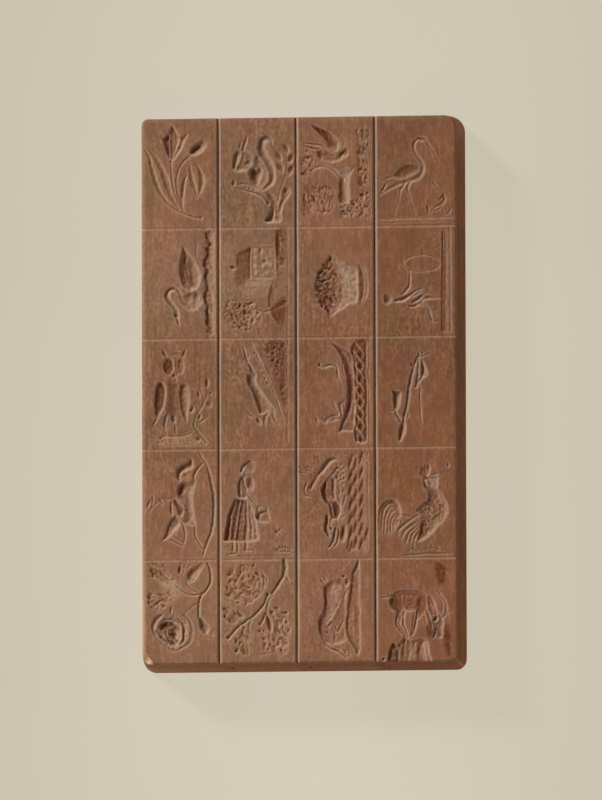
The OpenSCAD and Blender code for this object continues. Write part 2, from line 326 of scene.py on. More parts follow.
def sprigs(r, outline, count, seed, length, width, depth, spread, turn=90, tone=-0.2):
    """Small leaf-shaped nicks strewn over an area, at angles about one direction, with painted shade in
    them.
    """
    rng = np.random.default_rng(seed)
    corners = np.array(outline, float)
    low, high = corners.min(axis=0), corners.max(axis=0)
    ahead = np.roll(corners, -1, axis=0)
    done = 0
    while done < count:
        x, y = rng.uniform(low, high)
        crosses = (corners[:, 1] > y) != (ahead[:, 1] > y)
        rise = np.where(ahead[:, 1] == corners[:, 1], 1, ahead[:, 1] - corners[:, 1])
        edge = corners[:, 0] + (y - corners[:, 1]) * (ahead[:, 0] - corners[:, 0]) / rise
        if np.count_nonzero(crosses & (x < edge)) % 2:
            angle = np.radians(turn + rng.uniform(-spread, spread))
            reach = length * rng.uniform(*SPRIG_VARY) / 2
            step = reach * np.array([np.cos(angle), np.sin(angle)])
            deep = depth * rng.uniform(*SPRIG_VARY)
            tip = deep * SPRIG_TIP_DEEP
            r.cut([(x, y) - step, (x, y), (x, y) + step], (SPRIG_TIP_WIDE, width, SPRIG_TIP_WIDE),
                  (tip, deep, tip), tone=tone)
            done += 1


# The pictures, each drawn with its own cuts; the order of the cuts matters. Their tints, streaks and tones
# are painted shade on the sides of forms turned from the light and painted highlight on those turned to it;
# a few dark ones are stains.
def tulip(r):
    cup = [(30, 26), (35, 30), (39, 26), (43, 19), (47.5, 14), (52, 20), (56, 27), (62, 27), (69, 23),
           (65, 33), (60, 45), (54, 56), (47, 62), (42, 57), (38, 49), (35, 38)]
    r.fill(cup, 1.4, 4, tilt=(-0.025, 0))
    r.tint([(35, 30), (42, 26), (48, 34), (48, 58), (40, 52)], -0.75)
    r.tint([(52, 26), (60, 30), (58, 44), (50, 58), (50, 40)], 0.4)
    r.rib([(43, 23), (44, 40), (46, 59)], 4, 0.9)
    r.rib([(58, 27), (56, 40), (49, 58)], 4, 0.8)
    r.rib([(49, 24), (50, 40), (48, 56)], 3, 0.4)
    for line in (
        [(38, 32), (40, 42), (44, 54)], [(53, 26), (53, 38), (50, 52)], [(62, 31), (58, 42), (52, 52)],
    ):
        r.cut(line, (0.8, 1.6, 0.8), 0.3, add=True, tone=-0.4)
    r.bowl((46, 63), (2.4, 2.4), 0.9)
    r.cut([(46, 63), (46, 76), (48, 95), (53, 113), (63, 131)], 2.6, 0.9)
    r.cut([(40, 120), (52, 129), (64, 134), (75, 138), (87, 140)], (2, 2.6, 3, 3, 3), 1.0)
    r.bowl((86.5, 140), (3, 3), 0.9)
    r.cut([(7, 43), (15, 55), (19, 68), (21, 80), (26, 96), (33, 110), (43, 122), (56, 130)],
          (1, 5, 7, 8, 8, 7, 5, 3), (0.5, 1.1, 1.2, 1.3, 1.3, 1.2, 1, 0.8))
    r.cut([(14, 46), (24, 57), (31, 70), (37, 86), (42, 102), (48, 116), (57, 128)],
          (1, 7, 10, 12, 11, 8, 3), (0.4, 1.1, 1.4, 1.5, 1.5, 1.2, 0.8))
    r.rib([(24, 56), (34, 72), (40, 92), (47, 114)], 3, 0.45)
    r.bowl((83, 44.5), (15, 7.4), 2.4, turn=-41, deep=(-0.3, -0.25))
    r.tint([(70, 54), (73, 46), (82, 38), (86, 42), (80, 50)], -0.6)
    r.cut([(71, 56), (63, 62), (57, 72), (53, 85), (53, 97), (56, 112), (59, 122)], 2.6, 0.9)
    r.cut([(69, 75), (64, 88), (61, 103), (60, 118), (62, 128)], (1, 5, 7, 6, 3),
          (0.4, 1.1, 1.2, 1, 0.6))
    r.cut([(71, 70), (73, 84), (76, 97), (82, 113)], (2, 9, 9, 1.5), (0.6, 1.2, 1.2, 0.5))
    r.cut([(80, 68), (86, 80), (87, 94), (83, 110)], (2, 10, 10, 1.5), (0.6, 1.4, 1.4, 0.5))


def squirrel(r):
    r.cut([(35, 34), (33, 40), (32.5, 46)], (1, 3, 2.4), (0.4, 0.9, 0.8))
    r.cut([(43, 26), (40, 36), (36.5, 48)], (1, 5, 4), (0.6, 1.6, 1.5))
    head = [(36, 47), (28, 48), (23, 56), (22, 66), (22, 74), (30, 78), (41, 77), (49, 73), (52, 64),
            (50, 55), (44, 49)]
    r.fill(head, 0.9, 7, tilt=(-0.02, 0))
    r.cut([(29, 49), (26, 57), (24.5, 66), (24, 72)], (5, 9, 7, 3), (0.8, 1.3, 1.1, 0.6), add=True)
    r.rib([(36, 49), (34, 58), (30, 67), (27, 74)], (2, 4, 4, 2), 0.9)
    r.bowl((44, 65), (6, 4.4), 0.9, turn=-50, deep=(0, -0.3), add=True)
    r.bowl((41.6, 62), (3.2, 2.6), -0.5, turn=-50, add=True)
    body = [(52, 58), (58, 55), (64, 60), (69, 69), (72, 80), (71, 92), (66, 100), (58, 103.6),
            (50, 100), (45, 92), (43, 82), (45, 73), (49, 70)]
    r.fill(body, 1.1, 9, tilt=(-0.02, 0))
    r.fill([(46, 74), (52, 71.6), (55, 74), (60, 71), (64, 78), (60, 90), (55, 97), (49, 91), (45, 82)],
           1.5, 8, tilt=(-0.04, -0.02), add=True)
    tail = [(77, 42), (75, 34), (69, 31.6), (63, 36), (61.6, 46), (65.6, 57), (72, 68), (76.6, 80),
            (76.6, 91), (70, 99), (62, 103.6)]
    r.cut(tail, (2, 8, 11, 13, 14, 13, 12, 11, 11, 8, 3),
          (0.5, 1.1, 1.5, 2, 2.1, 1.9, 1.8, 1.7, 1.5, 1, 0.5), lean=0.25)
    r.rib([(70, 36), (69, 47), (73, 58), (78.6, 70), (81, 84)], (2, 3.4, 3.4, 3.4, 2), 0.5)
    r.streak([(74, 34), (70, 44), (74, 57), (80, 70), (81, 86), (75, 97)], 5, 0.6)
    r.streak([(34, 50), (44, 49), (51, 56), (50, 70), (40, 76), (28, 74)], 4, 0.5)
    r.tint([(46, 73), (54, 74), (57, 84), (54, 94), (48, 88)], -0.5)
    r.tint([(57, 36), (64, 34), (66, 44), (64, 52), (60, 48)], -0.4)
    r.cut([(28, 97.6), (36, 93.6), (45, 95), (50, 99)], (1.4, 4, 4, 1.6), (0.5, 1, 1, 0.5))
    r.pits([(46, 99.5), (40, 98.6), (51, 102)], (2.4, 1.6), 0.6)
    r.bowl((23.7, 93), (3, 5.4), 1.2, turn=10)
    r.cut([(24, 99), (34, 101), (46, 104), (57, 107.6), (66, 113), (72, 121)], (1.5, 3, 3.4, 4, 5, 7),
          (0.5, 0.8, 0.9, 1, 1.2, 1.4))
    trunk = [(67, 112), (73, 106), (80, 110), (85, 118), (88, 132), (90, 146), (66, 146.6), (71, 136),
             (74, 124)]
    r.fill(trunk, 1.2, 8)
    r.tint([(67, 112), (74, 110), (76, 124), (72, 146), (66, 146)], -0.45)
    r.fill([(74, 116), (79, 122), (80, 134), (78, 146), (66, 146.4), (71, 135), (74, 124)], 1.3, 7,
           tilt=(-0.02, 0.02), add=True)
    r.cut([(86, 146), (86, 132), (91, 119), (97, 110), (101, 98)], (5, 7, 7, 6, 2),
          (0.9, 1.2, 1.1, 1, 0.4))
    r.fill([(90, 112), (91, 102), (96, 98), (101, 101), (102, 108), (97, 115), (92, 118)], 0.9, 4)
    r.bowl((95.6, 105), (2.4, 4.6), 0.8, turn=18, add=True)
    r.cut([(84, 126), (85, 114), (89, 100), (94, 86), (97, 73), (97, 60), (95, 46)],
          (2.4, 2.2, 2, 2, 2, 2, 1.2), 0.75)
    for place, turn in (
        ((86, 57), 65), ((96, 47), 75), ((103, 59), -65), ((88, 73), 65), ((103, 75), -60),
    ):
        r.bowl(place, (8, 4.6), 1.15, turn=turn, deep=(-0.2, -0.1))
        r.tint(oval(place, (3, 6)), -0.5, soft=2)
        r.rib([np.array(place) - (0.6, 5), place, np.array(place) + (0.6, 5)], 2, 0.4)
    r.cut([(95, 86), (101, 82), (107, 77)], (2, 3, 1.4), 0.6)


def bird_in_tree(r):
    wing = [(22, 15), (32, 18), (44, 22), (54, 28), (61, 35), (65, 42), (62, 50), (56, 53), (50, 50),
            (46, 43), (39, 34), (30, 25)]
    r.fill(wing, 0.9, 6)
    r.fill([(24, 16.6), (33, 20), (43, 26), (48, 34), (49, 41), (44, 39), (38, 32), (30, 24)], 0.9, 5,
           add=True)
    r.tint([(22, 15.6), (34, 18.6), (46, 24), (52, 33), (51, 43), (48, 50), (43, 42), (36, 34),
            (28, 25)], -0.9, soft=2)
    r.tint([(36, 20), (48, 24), (60, 33), (63, 44), (58, 49), (54, 40), (48, 30)], 0.35)
    r.tint([(14, 43), (22, 45), (30, 48), (24, 49), (16, 47)], -0.7, soft=2)
    r.bowl((55.4, 43), (5.4, 7), 0.6, turn=-30, deep=(-0.3, -0.1), add=True)
    r.rib([(40, 22), (52, 29), (60, 38), (60, 47)], (2, 3.4, 3.4, 2), 0.6)
    r.cut([(62, 31), (67, 38), (66, 46), (61, 52)], (1.2, 2.8, 2.8, 1.2), 0.8)
    for feather in ([(12, 40.6), (24, 42), (36, 44), (46, 48)], [(13, 44), (23, 47), (34, 49)]):
        r.cut(feather, (1.2, 4, 4, 1.6)[:len(feather)], (0.5, 1.2, 1.1, 0.6)[:len(feather)])
    body = [(30, 51), (36, 49), (45, 51), (53, 54), (59, 57), (64, 52), (69, 48.6), (75, 50), (74.6, 57),
            (68, 63), (60, 67), (50, 68), (41, 65), (34, 60)]
    r.fill(body, 1.0, 6)
    r.bowl((34.6, 58), (3, 8), 0.7, turn=-25, add=True)
    r.tint(oval((34.6, 58), (3.4, 7)), -0.8, soft=2)
    r.tint([(38, 52), (46, 54), (46, 60), (40, 60)], -0.4)
    r.bowl((65, 55), (5.4, 3.4), 0.8, turn=-40, deep=(-0.2, 0.1), add=True)
    r.tint([(60, 56), (66, 50), (69, 52), (64, 59)], -0.6, soft=2)
    r.rib([(40, 52), (46, 58), (54, 61)], 3, 0.5)
    r.cut([(73, 52), (77, 56), (78.6, 60)], (3, 2.4, 1), (0.8, 0.6, 0.3))
    r.cut([(18, 84), (28, 75), (38, 72), (48, 75), (57, 82), (64, 91)], (1, 3, 4.4, 5, 6, 6),
          (0.3, 0.6, 0.8, 0.9, 1.0, 1.0))
    r.tint([(20, 84), (30, 72), (42, 69), (54, 75), (66, 84), (64, 90), (52, 80), (40, 75), (30, 78)],
           0.8, soft=2)
    trunk = [(62, 84), (66, 78), (72, 76), (77, 72), (78, 82), (75, 95), (75, 108), (77, 121), (70, 127),
             (60, 124), (60, 108), (61, 95)]
    r.fill(trunk, 0.7, 7)
    r.fill([(61, 88), (66, 85), (69, 92), (68.6, 106), (68, 122), (60.6, 123), (60.4, 106)], 0.4, 6,
           tilt=(-0.03, 0), add=True)
    r.cut([(74, 84), (79, 77), (84, 73)], (4, 4, 1), (0.9, 0.8, 0.3))
    r.leafy([(8, 50), (20, 48), (32, 58), (30, 70), (27, 80), (20, 92), (10, 92), (7, 70)], 0.2, 0.55,
            11, size=2, turn=0.1, stretch=3, stain_and_pit_shade=1)
    r.leafy([(9, 108), (14, 98), (24, 100), (31, 92), (38, 98), (48, 97), (56, 110), (56, 128),
             (46, 141), (28, 139), (12, 142), (8, 124)], 0.25, 0.4, 13, size=1.8, turn=0.05, stretch=3.6,
            stain_and_pit_shade=1)
    r.leafy([(82, 22), (90, 17), (101, 20), (104, 40), (103, 66), (104, 88), (98, 104), (86, 100),
             (85, 80), (83, 60), (86, 44)], 0.2, 0.45, 15, size=2, turn=0.1, stretch=3, stain_and_pit_shade=1)
    r.tint([(83, 24), (88, 28), (91, 60), (90, 100), (85, 104), (84, 70)], -0.4)
    r.leafy([(60, 132), (70, 122), (80, 116), (92, 106), (103, 110), (105, 126), (104, 144), (84, 147),
             (64, 146)], 0.2, 0.6, 17, size=2, turn=0.1, stretch=2.4, stain_and_pit_shade=1)
    sprigs(r, [(9, 108), (24, 99), (48, 97), (56, 112), (54, 132), (28, 139), (10, 140)], 60, 19,
           length=4.4, width=2, depth=0.7, spread=25, tone=-0.6)
    sprigs(r, [(60, 132), (80, 118), (102, 110), (104, 144), (64, 146)], 30, 20, length=4, width=2,
           depth=0.6, spread=40, tone=-0.5)
    r.tint([(64, 80), (77, 73), (76, 96), (78, 122), (69, 124), (68, 98)], 0.95, soft=2)
    r.tint([(60, 90), (66, 88), (67, 120), (60, 122)], -0.75, soft=3)
    r.bowl((94, 114), (5, 4.4), 1.0, deep=(-0.3, -0.2))


def stork(r):
    r.cut([(60, 36), (54.5, 43), (54, 52), (58, 61), (63, 67), (66.5, 76), (65, 84), (59, 91)],
          (3.5, 6, 6.5, 6, 7, 8, 8, 6), (0.7, 0.9, 0.9, 0.9, 1.0, 1.1, 1.0, 0.8))
    r.tint([(56, 44), (58, 58), (66, 68), (70, 78), (66, 88), (60, 92), (63, 80), (60, 66), (54, 56)],
           0.5)
    r.cut([(60, 36), (66, 36), (71, 38)], (5, 7, 5), (1, 1.1, 0.9))
    r.bowl((64.5, 37.6), (1.8, 1.8), 0.7, add=True)
    r.cut([(71, 38), (80, 54), (90.5, 72)], (3.4, 3, 1), (0.9, 0.8, 0.4))
    r.cut([(70, 40), (75.5, 52), (81.5, 69)], (2.6, 2.4, 1), (0.8, 0.8, 0.4))
    wing = [(26, 87), (33, 78), (41, 72), (52, 70), (60, 72), (62, 79), (55, 85), (45, 90), (35, 92)]
    r.fill(wing, 1.0, 7, tilt=(-0.02, -0.02))
    r.tint(wing, -0.4)
    r.cut([(66, 80), (58, 90), (46, 94.5), (34, 97), (22, 103), (7, 113)], (4, 6, 7, 6, 5, 1.5),
          (0.8, 0.9, 0.9, 0.8, 0.7, 0.4))
    r.tint([(30, 96), (46, 91), (60, 88), (58, 95), (44, 99), (32, 101)], 0.4)
    r.cut([(8, 111), (13, 104), (17, 97)], (1, 4, 2.5), (0.5, 1.2, 0.8))
    r.cut([(14, 92), (19, 89), (25, 86)], (1, 2.6, 2), 0.8)
    r.cut([(4, 89), (12, 93), (20, 95)], 2.2, 0.6)
    for leg in (
        [(45, 95), (39, 102), (36, 107), (33, 119), (30, 131), (26, 143)],
        [(49, 97), (45, 104), (46, 108), (50, 120), (53, 132), (57, 143)],
    ):
        r.cut(leg, (4.6, 4.4, 2.2, 2.2, 2.2, 2.2), (1.0, 1.0, 0.6, 0.6, 0.6, 0.6), lean=0.3, tone=0.3)
    r.cut([(22, 144), (27, 142), (33, 145)], 2, 0.6)
    r.cut([(53, 143), (58, 142), (63, 145)], 2, 0.6)
    r.cut([(8, 146), (14, 146), (20, 145)], 1.8, 0.5)
    for v in (145.4, 149.6):
        r.cut([(8, v), (50, v), (80, v - 1), (106, v - 2)], 1.8, 0.45)
    r.tint([(10, 144), (106, 142), (106, 149), (10, 150)], 0.35)
    r.cut([(80, 92), (82, 98), (87, 105), (93, 111), (96, 119), (91, 126), (83, 130), (77, 138)],
          (1.2, 2.4, 2.6, 4, 6.4, 5.4, 4, 2), (0.5, 0.6, 0.5, 0.6, 1.0, 0.8, 0.6, 0.5))
    r.cut([(73, 129), (74, 138)], (3.6, 3.2), 1.2, tone=-0.7)
    r.cut([(88, 120), (93, 116), (95, 111)], (2, 4.4, 2), 0.7, add=True, tone=-0.8)
    r.cut([(80, 96), (84, 101)], (2.4, 1.6), 0.6, add=True, tone=-0.5)
    r.cut([(76.5, 127), (77, 133)], 2, 0.6)
    r.cut([(82, 136), (88, 133), (93, 129)], 2, 0.8)
    r.cut([(93, 133), (97, 140), (101, 138), (105, 132)], 2.2, 0.9)


def swan(r):
    body = [(62, 29), (58, 42), (55.5, 56), (56, 68), (59, 79), (64, 87), (71, 91.5), (78, 88), (84, 81),
            (86, 70), (83, 59), (77, 48), (69, 38)]
    r.fill(body, 1.9, 9, tilt=(-0.03, 0))
    wing = [(70, 43), (77, 50), (83, 61), (85.5, 71), (84, 81), (77.5, 86.5), (71, 80), (69, 68),
            (68, 54)]
    r.fill(wing, 0.6, 5, tilt=(-0.02, 0.01), add=True)
    r.rib([(62, 62), (65, 74), (70, 84), (77, 90)], 3, 0.6)
    r.rib([(60, 46), (62, 58), (66, 70), (72, 80)], 1.8, 0.3)
    r.rib([(66, 50), (67, 60), (69, 70), (74, 80)], 2.4, 0.25)
    r.tint([(61, 36), (66, 44), (72, 62), (76, 84), (66, 86), (58, 76), (57, 56)], -0.5, soft=3)
    r.cut([(62, 32), (57.4, 50), (57.4, 68), (62, 82), (70, 89)], (1, 3, 3.4, 3, 1.4), 0.5, add=True,
          tone=-0.6)
    r.tint([(72, 42), (80, 52), (87, 68), (84, 82), (80, 70), (76, 56)], 0.5)
    r.cut([(69, 77), (72, 82), (77.5, 86.5)], (1.5, 3.2, 1.5), (1.6, 2.6, 2.0))
    breast = [(67, 93), (78, 90), (87, 94), (89.5, 103), (85, 112), (76, 117.5), (68, 116.5), (62, 108),
              (60, 98)]
    r.fill(breast, 1.0, 8, tilt=(-0.015, 0))
    r.bowl((79.5, 100), (4.2, 8.5), 0.9, deep=(-0.3, 0), add=True)
    neck = [(70, 112), (63, 106), (58.5, 97), (54, 90), (48, 86.5), (42, 88.5), (39.5, 95), (42, 103),
            (47.5, 110), (52.5, 118), (54, 126)]
    r.cut(neck, (12, 10, 7.5, 6.5, 6.5, 7.5, 8, 8, 7, 6.5, 5),
          (1.5, 1.5, 1.3, 1.1, 1.1, 1.3, 1.4, 1.4, 1.3, 1.3, 1.2))
    r.bowl((52.3, 123.5), (3.4, 5), 1.5, turn=-10, deep=(-0.2, 0))
    r.cut([(45, 86.6), (39.4, 90), (37.6, 97), (41, 106), (47, 113), (50.4, 122)],
          (1, 2.6, 2.8, 2.4, 2, 1), 0.3, add=True, tone=-0.7)
    r.streak([(62, 106), (57, 96), (48, 89), (43, 95), (48, 106), (54, 116), (57, 128)], 4.4, 0.6)
    r.tint([(66, 96), (84, 94), (88, 104), (76, 116), (66, 114)], 0.25)
    r.cut([(54, 129), (54.6, 134), (56.5, 140.5)], (4.4, 4, 1.4), (1.0, 1.3, 0.5))
    r.cut([(79.3, 18), (79.3, 30), (80.5, 43), (84, 52)], (1, 3, 2.6, 1), (0.4, 0.9, 0.6, 0.3))
    water = [(93, 10.5), (103.5, 10.5), (104, 60), (104, 105), (104, 149), (94, 149), (94, 140),
             (91, 134), (93, 126), (91.5, 118), (93.5, 112), (89.5, 104), (88, 96), (92, 88), (91.5, 78),
             (89.5, 70), (92, 62), (88, 54), (91, 45), (94, 38), (91, 34), (96, 26), (91.5, 17)]
    r.fill(water, 1.0, 6, tilt=(-0.05, 0))
    r.cut([(u + 2.4, v) for u, v in water[6:]], 5, 0.6, add=True, tone=-0.6)
    r.leafy([(88, 12), (103, 12), (103, 148), (90, 148)], 0.05, 0.2, 21, size=4, add=True, stretch=1.6)
    r.cut([(104, 10), (104.4, 60), (104.4, 105), (104.2, 149)], 2.4, 0.4, lean=0.4, tone=0.6)
    r.tint([(89, 14), (99, 12), (97, 60), (96, 100), (98, 148), (92, 148), (89, 104), (88, 60)], -0.4,
           soft=2)
    r.pits([(96, 26.5), (94.5, 113), (95, 121)], (2.2, 3), 0.7, add=True)


def house(r):
    ground = [(84, 7), (96.8, 6), (97.4, 40), (97.6, 80), (97.6, 120), (97.6, 151), (90, 151), (85, 140),
              (80, 129), (75, 122), (74, 113), (73.4, 101), (74, 92), (79, 80), (82, 70), (84.5, 60),
              (81.5, 52), (82, 40), (81, 28), (83, 15)]
    r.fill(ground, 0.45, 5, tilt=(-0.03, 0))
    r.cut([(84, 8), (85, 20), (85, 34), (84.4, 47)], (5, 9, 9, 5), (0.6, 1.3, 1.3, 0.6), lean=-0.3,
          tone=-0.6)
    r.cut([(83.4, 53), (84.6, 58), (83, 64)], (3, 5, 3), (0.6, 1.1, 0.6), lean=-0.2, tone=-0.6)
    r.cut([(82, 68), (78, 80), (74.5, 92), (73.4, 103), (73.4, 112)], (2.4, 3.4, 4.4, 4.4, 4),
          (0.5, 0.7, 0.9, 0.9, 0.9), tone=-0.6)
    r.leafy([(84, 10), (95, 10), (95, 66), (84, 66), (82, 40)], 0.1, 0.2, 22, add=True, turn=0,
            stretch=2)
    r.tint([(81, 10), (90, 8), (92, 28), (90, 48), (82, 48), (80.6, 30)], -1.1)
    r.tint([(75, 113), (86, 101), (97, 97), (97.4, 122), (93, 138), (80, 134)], -0.7, soft=4)
    r.tint([(86, 6), (96.6, 6), (97, 36), (92, 54), (86, 50)], -0.5, soft=2)
    r.tint([(30, 84), (50, 76), (80, 76), (74, 100), (40, 98)], 0.25, soft=5)
    r.cut([(97.8, 5), (98, 50), (98.2, 100), (98.2, 151)], 3, 0.5, lean=0.4)
    gable = [(27, 42), (48.5, 30), (48.5, 73), (27.5, 83)]
    r.fill(gable, 0.45, 1.6, tilt=(0.03, -0.012), smooth=False)
    r.tint(gable, -0.6)
    r.cut([(27, 42), (38, 36), (48, 30.4)], 2, 0.5)
    r.cut([(46.4, 32), (46.2, 52), (46.4, 72)], 4, 0.6, add=True)
    for at in range(5):
        r.cut([(30.6 + 3 * at, 41 - 1.6 * at), (30.8 + 3 * at, 58), (30.6 + 3 * at, 78 - 1.4 * at)], 1.6,
              0.22, add=True)
    r.fill([(19, 54.6), (24, 55), (27.5, 57), (27.5, 61), (23, 60.8), (20, 60)], 1.2, 2, smooth=False)
    r.cut([(27, 59), (32, 58.6), (36, 57.2)], (2.6, 2.6, 1), 0.4)
    wall = [(49, 29.8), (81.5, 29.6), (82, 73.5), (49, 73.8)]
    r.fill(wall, 0.45, 1.5, smooth=False)
    r.tint(wall, 0.25)
    r.tint([(40, 76), (60, 75), (80, 76), (78, 85), (42, 86)], 0.3)
    for place in ((55, 36), (55, 46), (56, 57), (66, 57), (71, 66), (56, 66.4), (75.6, 55)):
        r.bowl(place, (3.2, 3.4), -0.42, form=as_steep, add=True)
        r.tint(oval(place, (2.4, 2.8)), 0.4, soft=1.5)
    r.bowl((61, 36.6), (1.7, 4.6), 0.9, add=True)
    r.bowl((67, 50), (3.6, 3.2), 1.0, add=True)
    r.cut([(73, 46.2), (77, 46.2), (82, 46)], 1.6, 0.5, add=True)
    r.cut([(62.5, 48), (62.5, 60), (62.5, 72)], 1.5, 0.4, add=True)
    for v in (60.4, 67, 70.4):
        r.cut([(58, v), (70, v), (81, v - 0.2)], 1.4, 0.35, add=True)
    r.cut([(72, 34), (72.4, 39)], 1.6, 0.4, add=True)
    r.cut([(33, 95), (42, 97.4), (55, 97)], (1.4, 2.2, 1.4), 0.35)
    r.pits([(39.5, 84), (43.5, 86.5), (49, 86), (54, 86.2), (60, 86)], (1.6, 1.1), 0.45)
    crown = [(7, 117), (12, 106), (23, 100), (36, 99), (48, 100), (59, 104), (63, 113), (67, 122),
             (65, 132), (58, 140), (45, 146), (33, 146), (22, 140), (13, 130)]
    r.leafy(crown, 0.3, 0.6, 23, size=3)
    r.tint([(11, 117), (18, 106), (34, 103), (44, 110), (44, 128), (38, 140), (22, 134)], -0.45, soft=6)
    r.tint([(46, 104), (58, 108), (63, 124), (58, 135), (48, 139)], 0.3, soft=5)
    r.bowl((40, 121), (4, 3.4), 1.4, turn=20)
    r.cut([(36, 127.5), (44, 122), (52, 119)], (2, 3.4, 2), (0.4, 0.9, 0.4))
    r.cut([(62, 120), (70, 118), (80, 116)], (2.4, 3, 3.4), (0.7, 0.9, 1.1))
    root = [(75, 112.6), (82, 108.6), (90, 103), (97, 103), (96, 111), (88, 114), (80, 117.4)]
    r.fill(root, 0.8, 3)
    r.tint(root, -0.7)
    r.tint([(82, 100), (97, 96), (97, 118), (86, 126), (78, 120)], -0.4, soft=6)
    stub = [(75, 118.4), (81, 118), (85, 124), (85, 134), (81, 131), (77, 127)]
    r.fill(stub, 0.7, 4)
    r.tint(stub, -0.6)


def flower_basket(r):
    heap = [(49.5, 43), (41, 51), (34, 61), (28.5, 70), (25.5, 82), (26, 96), (29, 107), (34.5, 116),
            (41, 121), (47, 129), (53, 122), (59, 113), (62, 100), (62, 85), (60, 70), (54, 55)]
    wicker = [(50, 44), (64, 52), (77, 60), (86.5, 64), (87.5, 85), (87, 106.5), (77, 112), (64, 120),
              (48, 131), (53, 120), (60, 100), (60, 80), (56, 58)]
    r.fill(heap[:10] + wicker[8:0:-1], 0.75, 5, form=as_soft)
    r.fill(heap, 0.4, 9, form=as_soft, add=True)
    r.leafy(heap, 0.1, 0.65, 24, size=3.8, add=True, stain_and_pit_shade=0.9)
    r.tint(heap, -0.45, soft=5)
    r.tint([(40, 52), (30, 68), (26.5, 84), (28, 104), (40, 119), (46, 108), (42, 90), (42, 70)], -0.4,
           soft=5)
    r.tint([(54, 48), (76, 59), (87, 64), (87.6, 106), (76, 112), (54, 125), (62, 100), (62, 76)], 0.95,
           soft=4)
    for place, size in (
        ((49.5, 106), 5.2), ((44, 117), 4.2), ((33, 68), 3.6), ((32.5, 93), 3.6), ((39, 57), 3),
        ((53, 77), 2.8), ((48, 62), 2.6), ((38, 80), 3),
    ):
        r.bowl(place, (size, size * 1.2), 0.35 + 0.1 * size, turn=25 * size, deep=(-0.1, -0.1),
               add=True)
        r.tint(oval(place, (size, size)), -0.4, soft=3)
    sprigs(r, [(64, 56), (85, 66), (86, 104), (64, 116)], 110, 24, length=2.8, width=1.7, depth=0.3,
           spread=80)
    r.leafy([(62, 55), (85, 65), (86, 105), (62, 117)], 0.05, 0.18, 25, size=2.4, add=True)
    foot = [(88.5, 58), (91.5, 70), (92.4, 84), (91.6, 97), (88.5, 111)]
    r.cut(foot, (4, 9, 10, 9, 4), (0.6, 1.2, 1.3, 1.2, 0.6), lean=-0.3, tone=-0.5)
    rim = [(91.5, 54), (97, 69), (99, 85), (98, 97), (91.5, 112)]
    r.cut(rim, (1.5, 4.4, 5.4, 5.4, 2), (0.2, 0.5, 0.6, 0.6, 0.2), lean=0.3)
    r.tint([(92, 54), (97, 62), (101, 78), (101.4, 92), (98, 104), (92, 113), (96, 100), (97.4, 84),
            (96, 70)], 0.45, soft=2)


def child_with_hoop(r):
    r.cut(oval((65.5, 55.5), (25.5, 11)), 2.6, 0.65, tone=0.4)
    r.cut([(67, 37), (67.6, 43)], (1, 2.6), (0.3, 0.7))
    r.cut([(38, 49), (39, 55), (42, 60)], (1.6, 2.6, 1.6), 0.8)
    r.cut([(48.6, 64), (48.8, 76), (48.6, 86), (44, 91.5), (37.5, 98)], (2.6, 3.6, 4, 5, 3),
          (0.8, 1.0, 1.0, 1.2, 0.9))
    r.bowl((19.5, 103.5), (6, 7.6), 1.1, deep=(-0.2, 0))
    r.tint([(14, 96), (18, 97), (18, 110), (14, 111)], -0.7, soft=2)
    for line in (
        [(48.8, 66), (49, 86), (40, 97)], [(34, 108), (50, 103), (66, 93)],
        [(58, 108), (72, 100), (92, 103)], [(64, 110), (74, 116), (80, 133)],
    ):
        r.streak(line, 6, 0.4)
    r.cut([(15.5, 95.5), (14.4, 103), (15.3, 111)], (1.4, 3, 1.4), (0.6, 1.7, 0.6))
    r.cut([(30, 105.5), (37, 104), (43, 102), (48, 99)], (6, 8, 8, 6), (1.2, 1.5, 1.5, 1.2))
    r.cut([(46, 101), (54, 95.5), (60, 92), (65.8, 90.3)], (6, 5, 4, 2.6), (1.3, 1.2, 1.1, 0.9))
    r.cut([(51, 103), (57, 99), (64, 95)], (2, 4.5, 2), (0.5, 0.9, 0.5))
    r.cut([(52, 109), (59, 105), (64, 101.5), (69, 99)], (5, 7, 7, 3), (1.0, 1.6, 1.6, 0.7))
    r.cut([(64, 106), (72, 103), (82, 102.3), (92.5, 102.5)], (6, 7, 6, 3), (0.9, 1.0, 0.9, 0.6))
    r.cut([(48.5, 113.5), (54, 114), (60, 111), (66, 108)], (4, 6, 6, 4), (1.1, 1.2, 1.0, 0.8))
    r.cut([(65, 111), (71, 113.5), (75, 119), (77, 127), (78.5, 134)], (5, 5, 4.4, 4, 3.4),
          (0.8, 0.9, 1.0, 1.1, 1.2))
    r.cut([(78, 132), (82, 134), (89.5, 134.5)], (3.5, 3.2, 1.6), (1.0, 0.8, 0.5))
    r.cut([(81, 129), (85, 131), (90, 132)], 1.6, 0.4)
    ground = [(93.2, 12), (104, 12), (104.4, 60), (104.6, 110), (104.6, 149), (92, 149), (92.4, 120),
              (93, 80), (93.6, 40)]
    r.fill(ground, 0.22, 3, smooth=False)
    r.cut([(94, 13), (94, 40), (93.4, 70), (93, 100), (92.8, 148)], 3.2, (0.9, 0.9, 0.6, 0.6, 0.9),
          tone=-0.8)
    r.cut([(97.4, 15), (97.2, 60), (96.6, 110), (96, 148)], 2.6, (0.5, 0.5, 0.6, 0.7), tone=-0.6)
    r.cut([(103.6, 8), (104, 60), (104.4, 110), (104.6, 149)], 3.4, 0.7, lean=0.4)
    r.tint([(91.6, 13), (97.6, 13), (97, 70), (96.4, 149), (90.6, 149), (91.4, 80)], -0.3, soft=1.5)
    r.tint([(98.6, 12), (103, 12), (103.4, 149), (98, 149)], 0.45, soft=1.5)


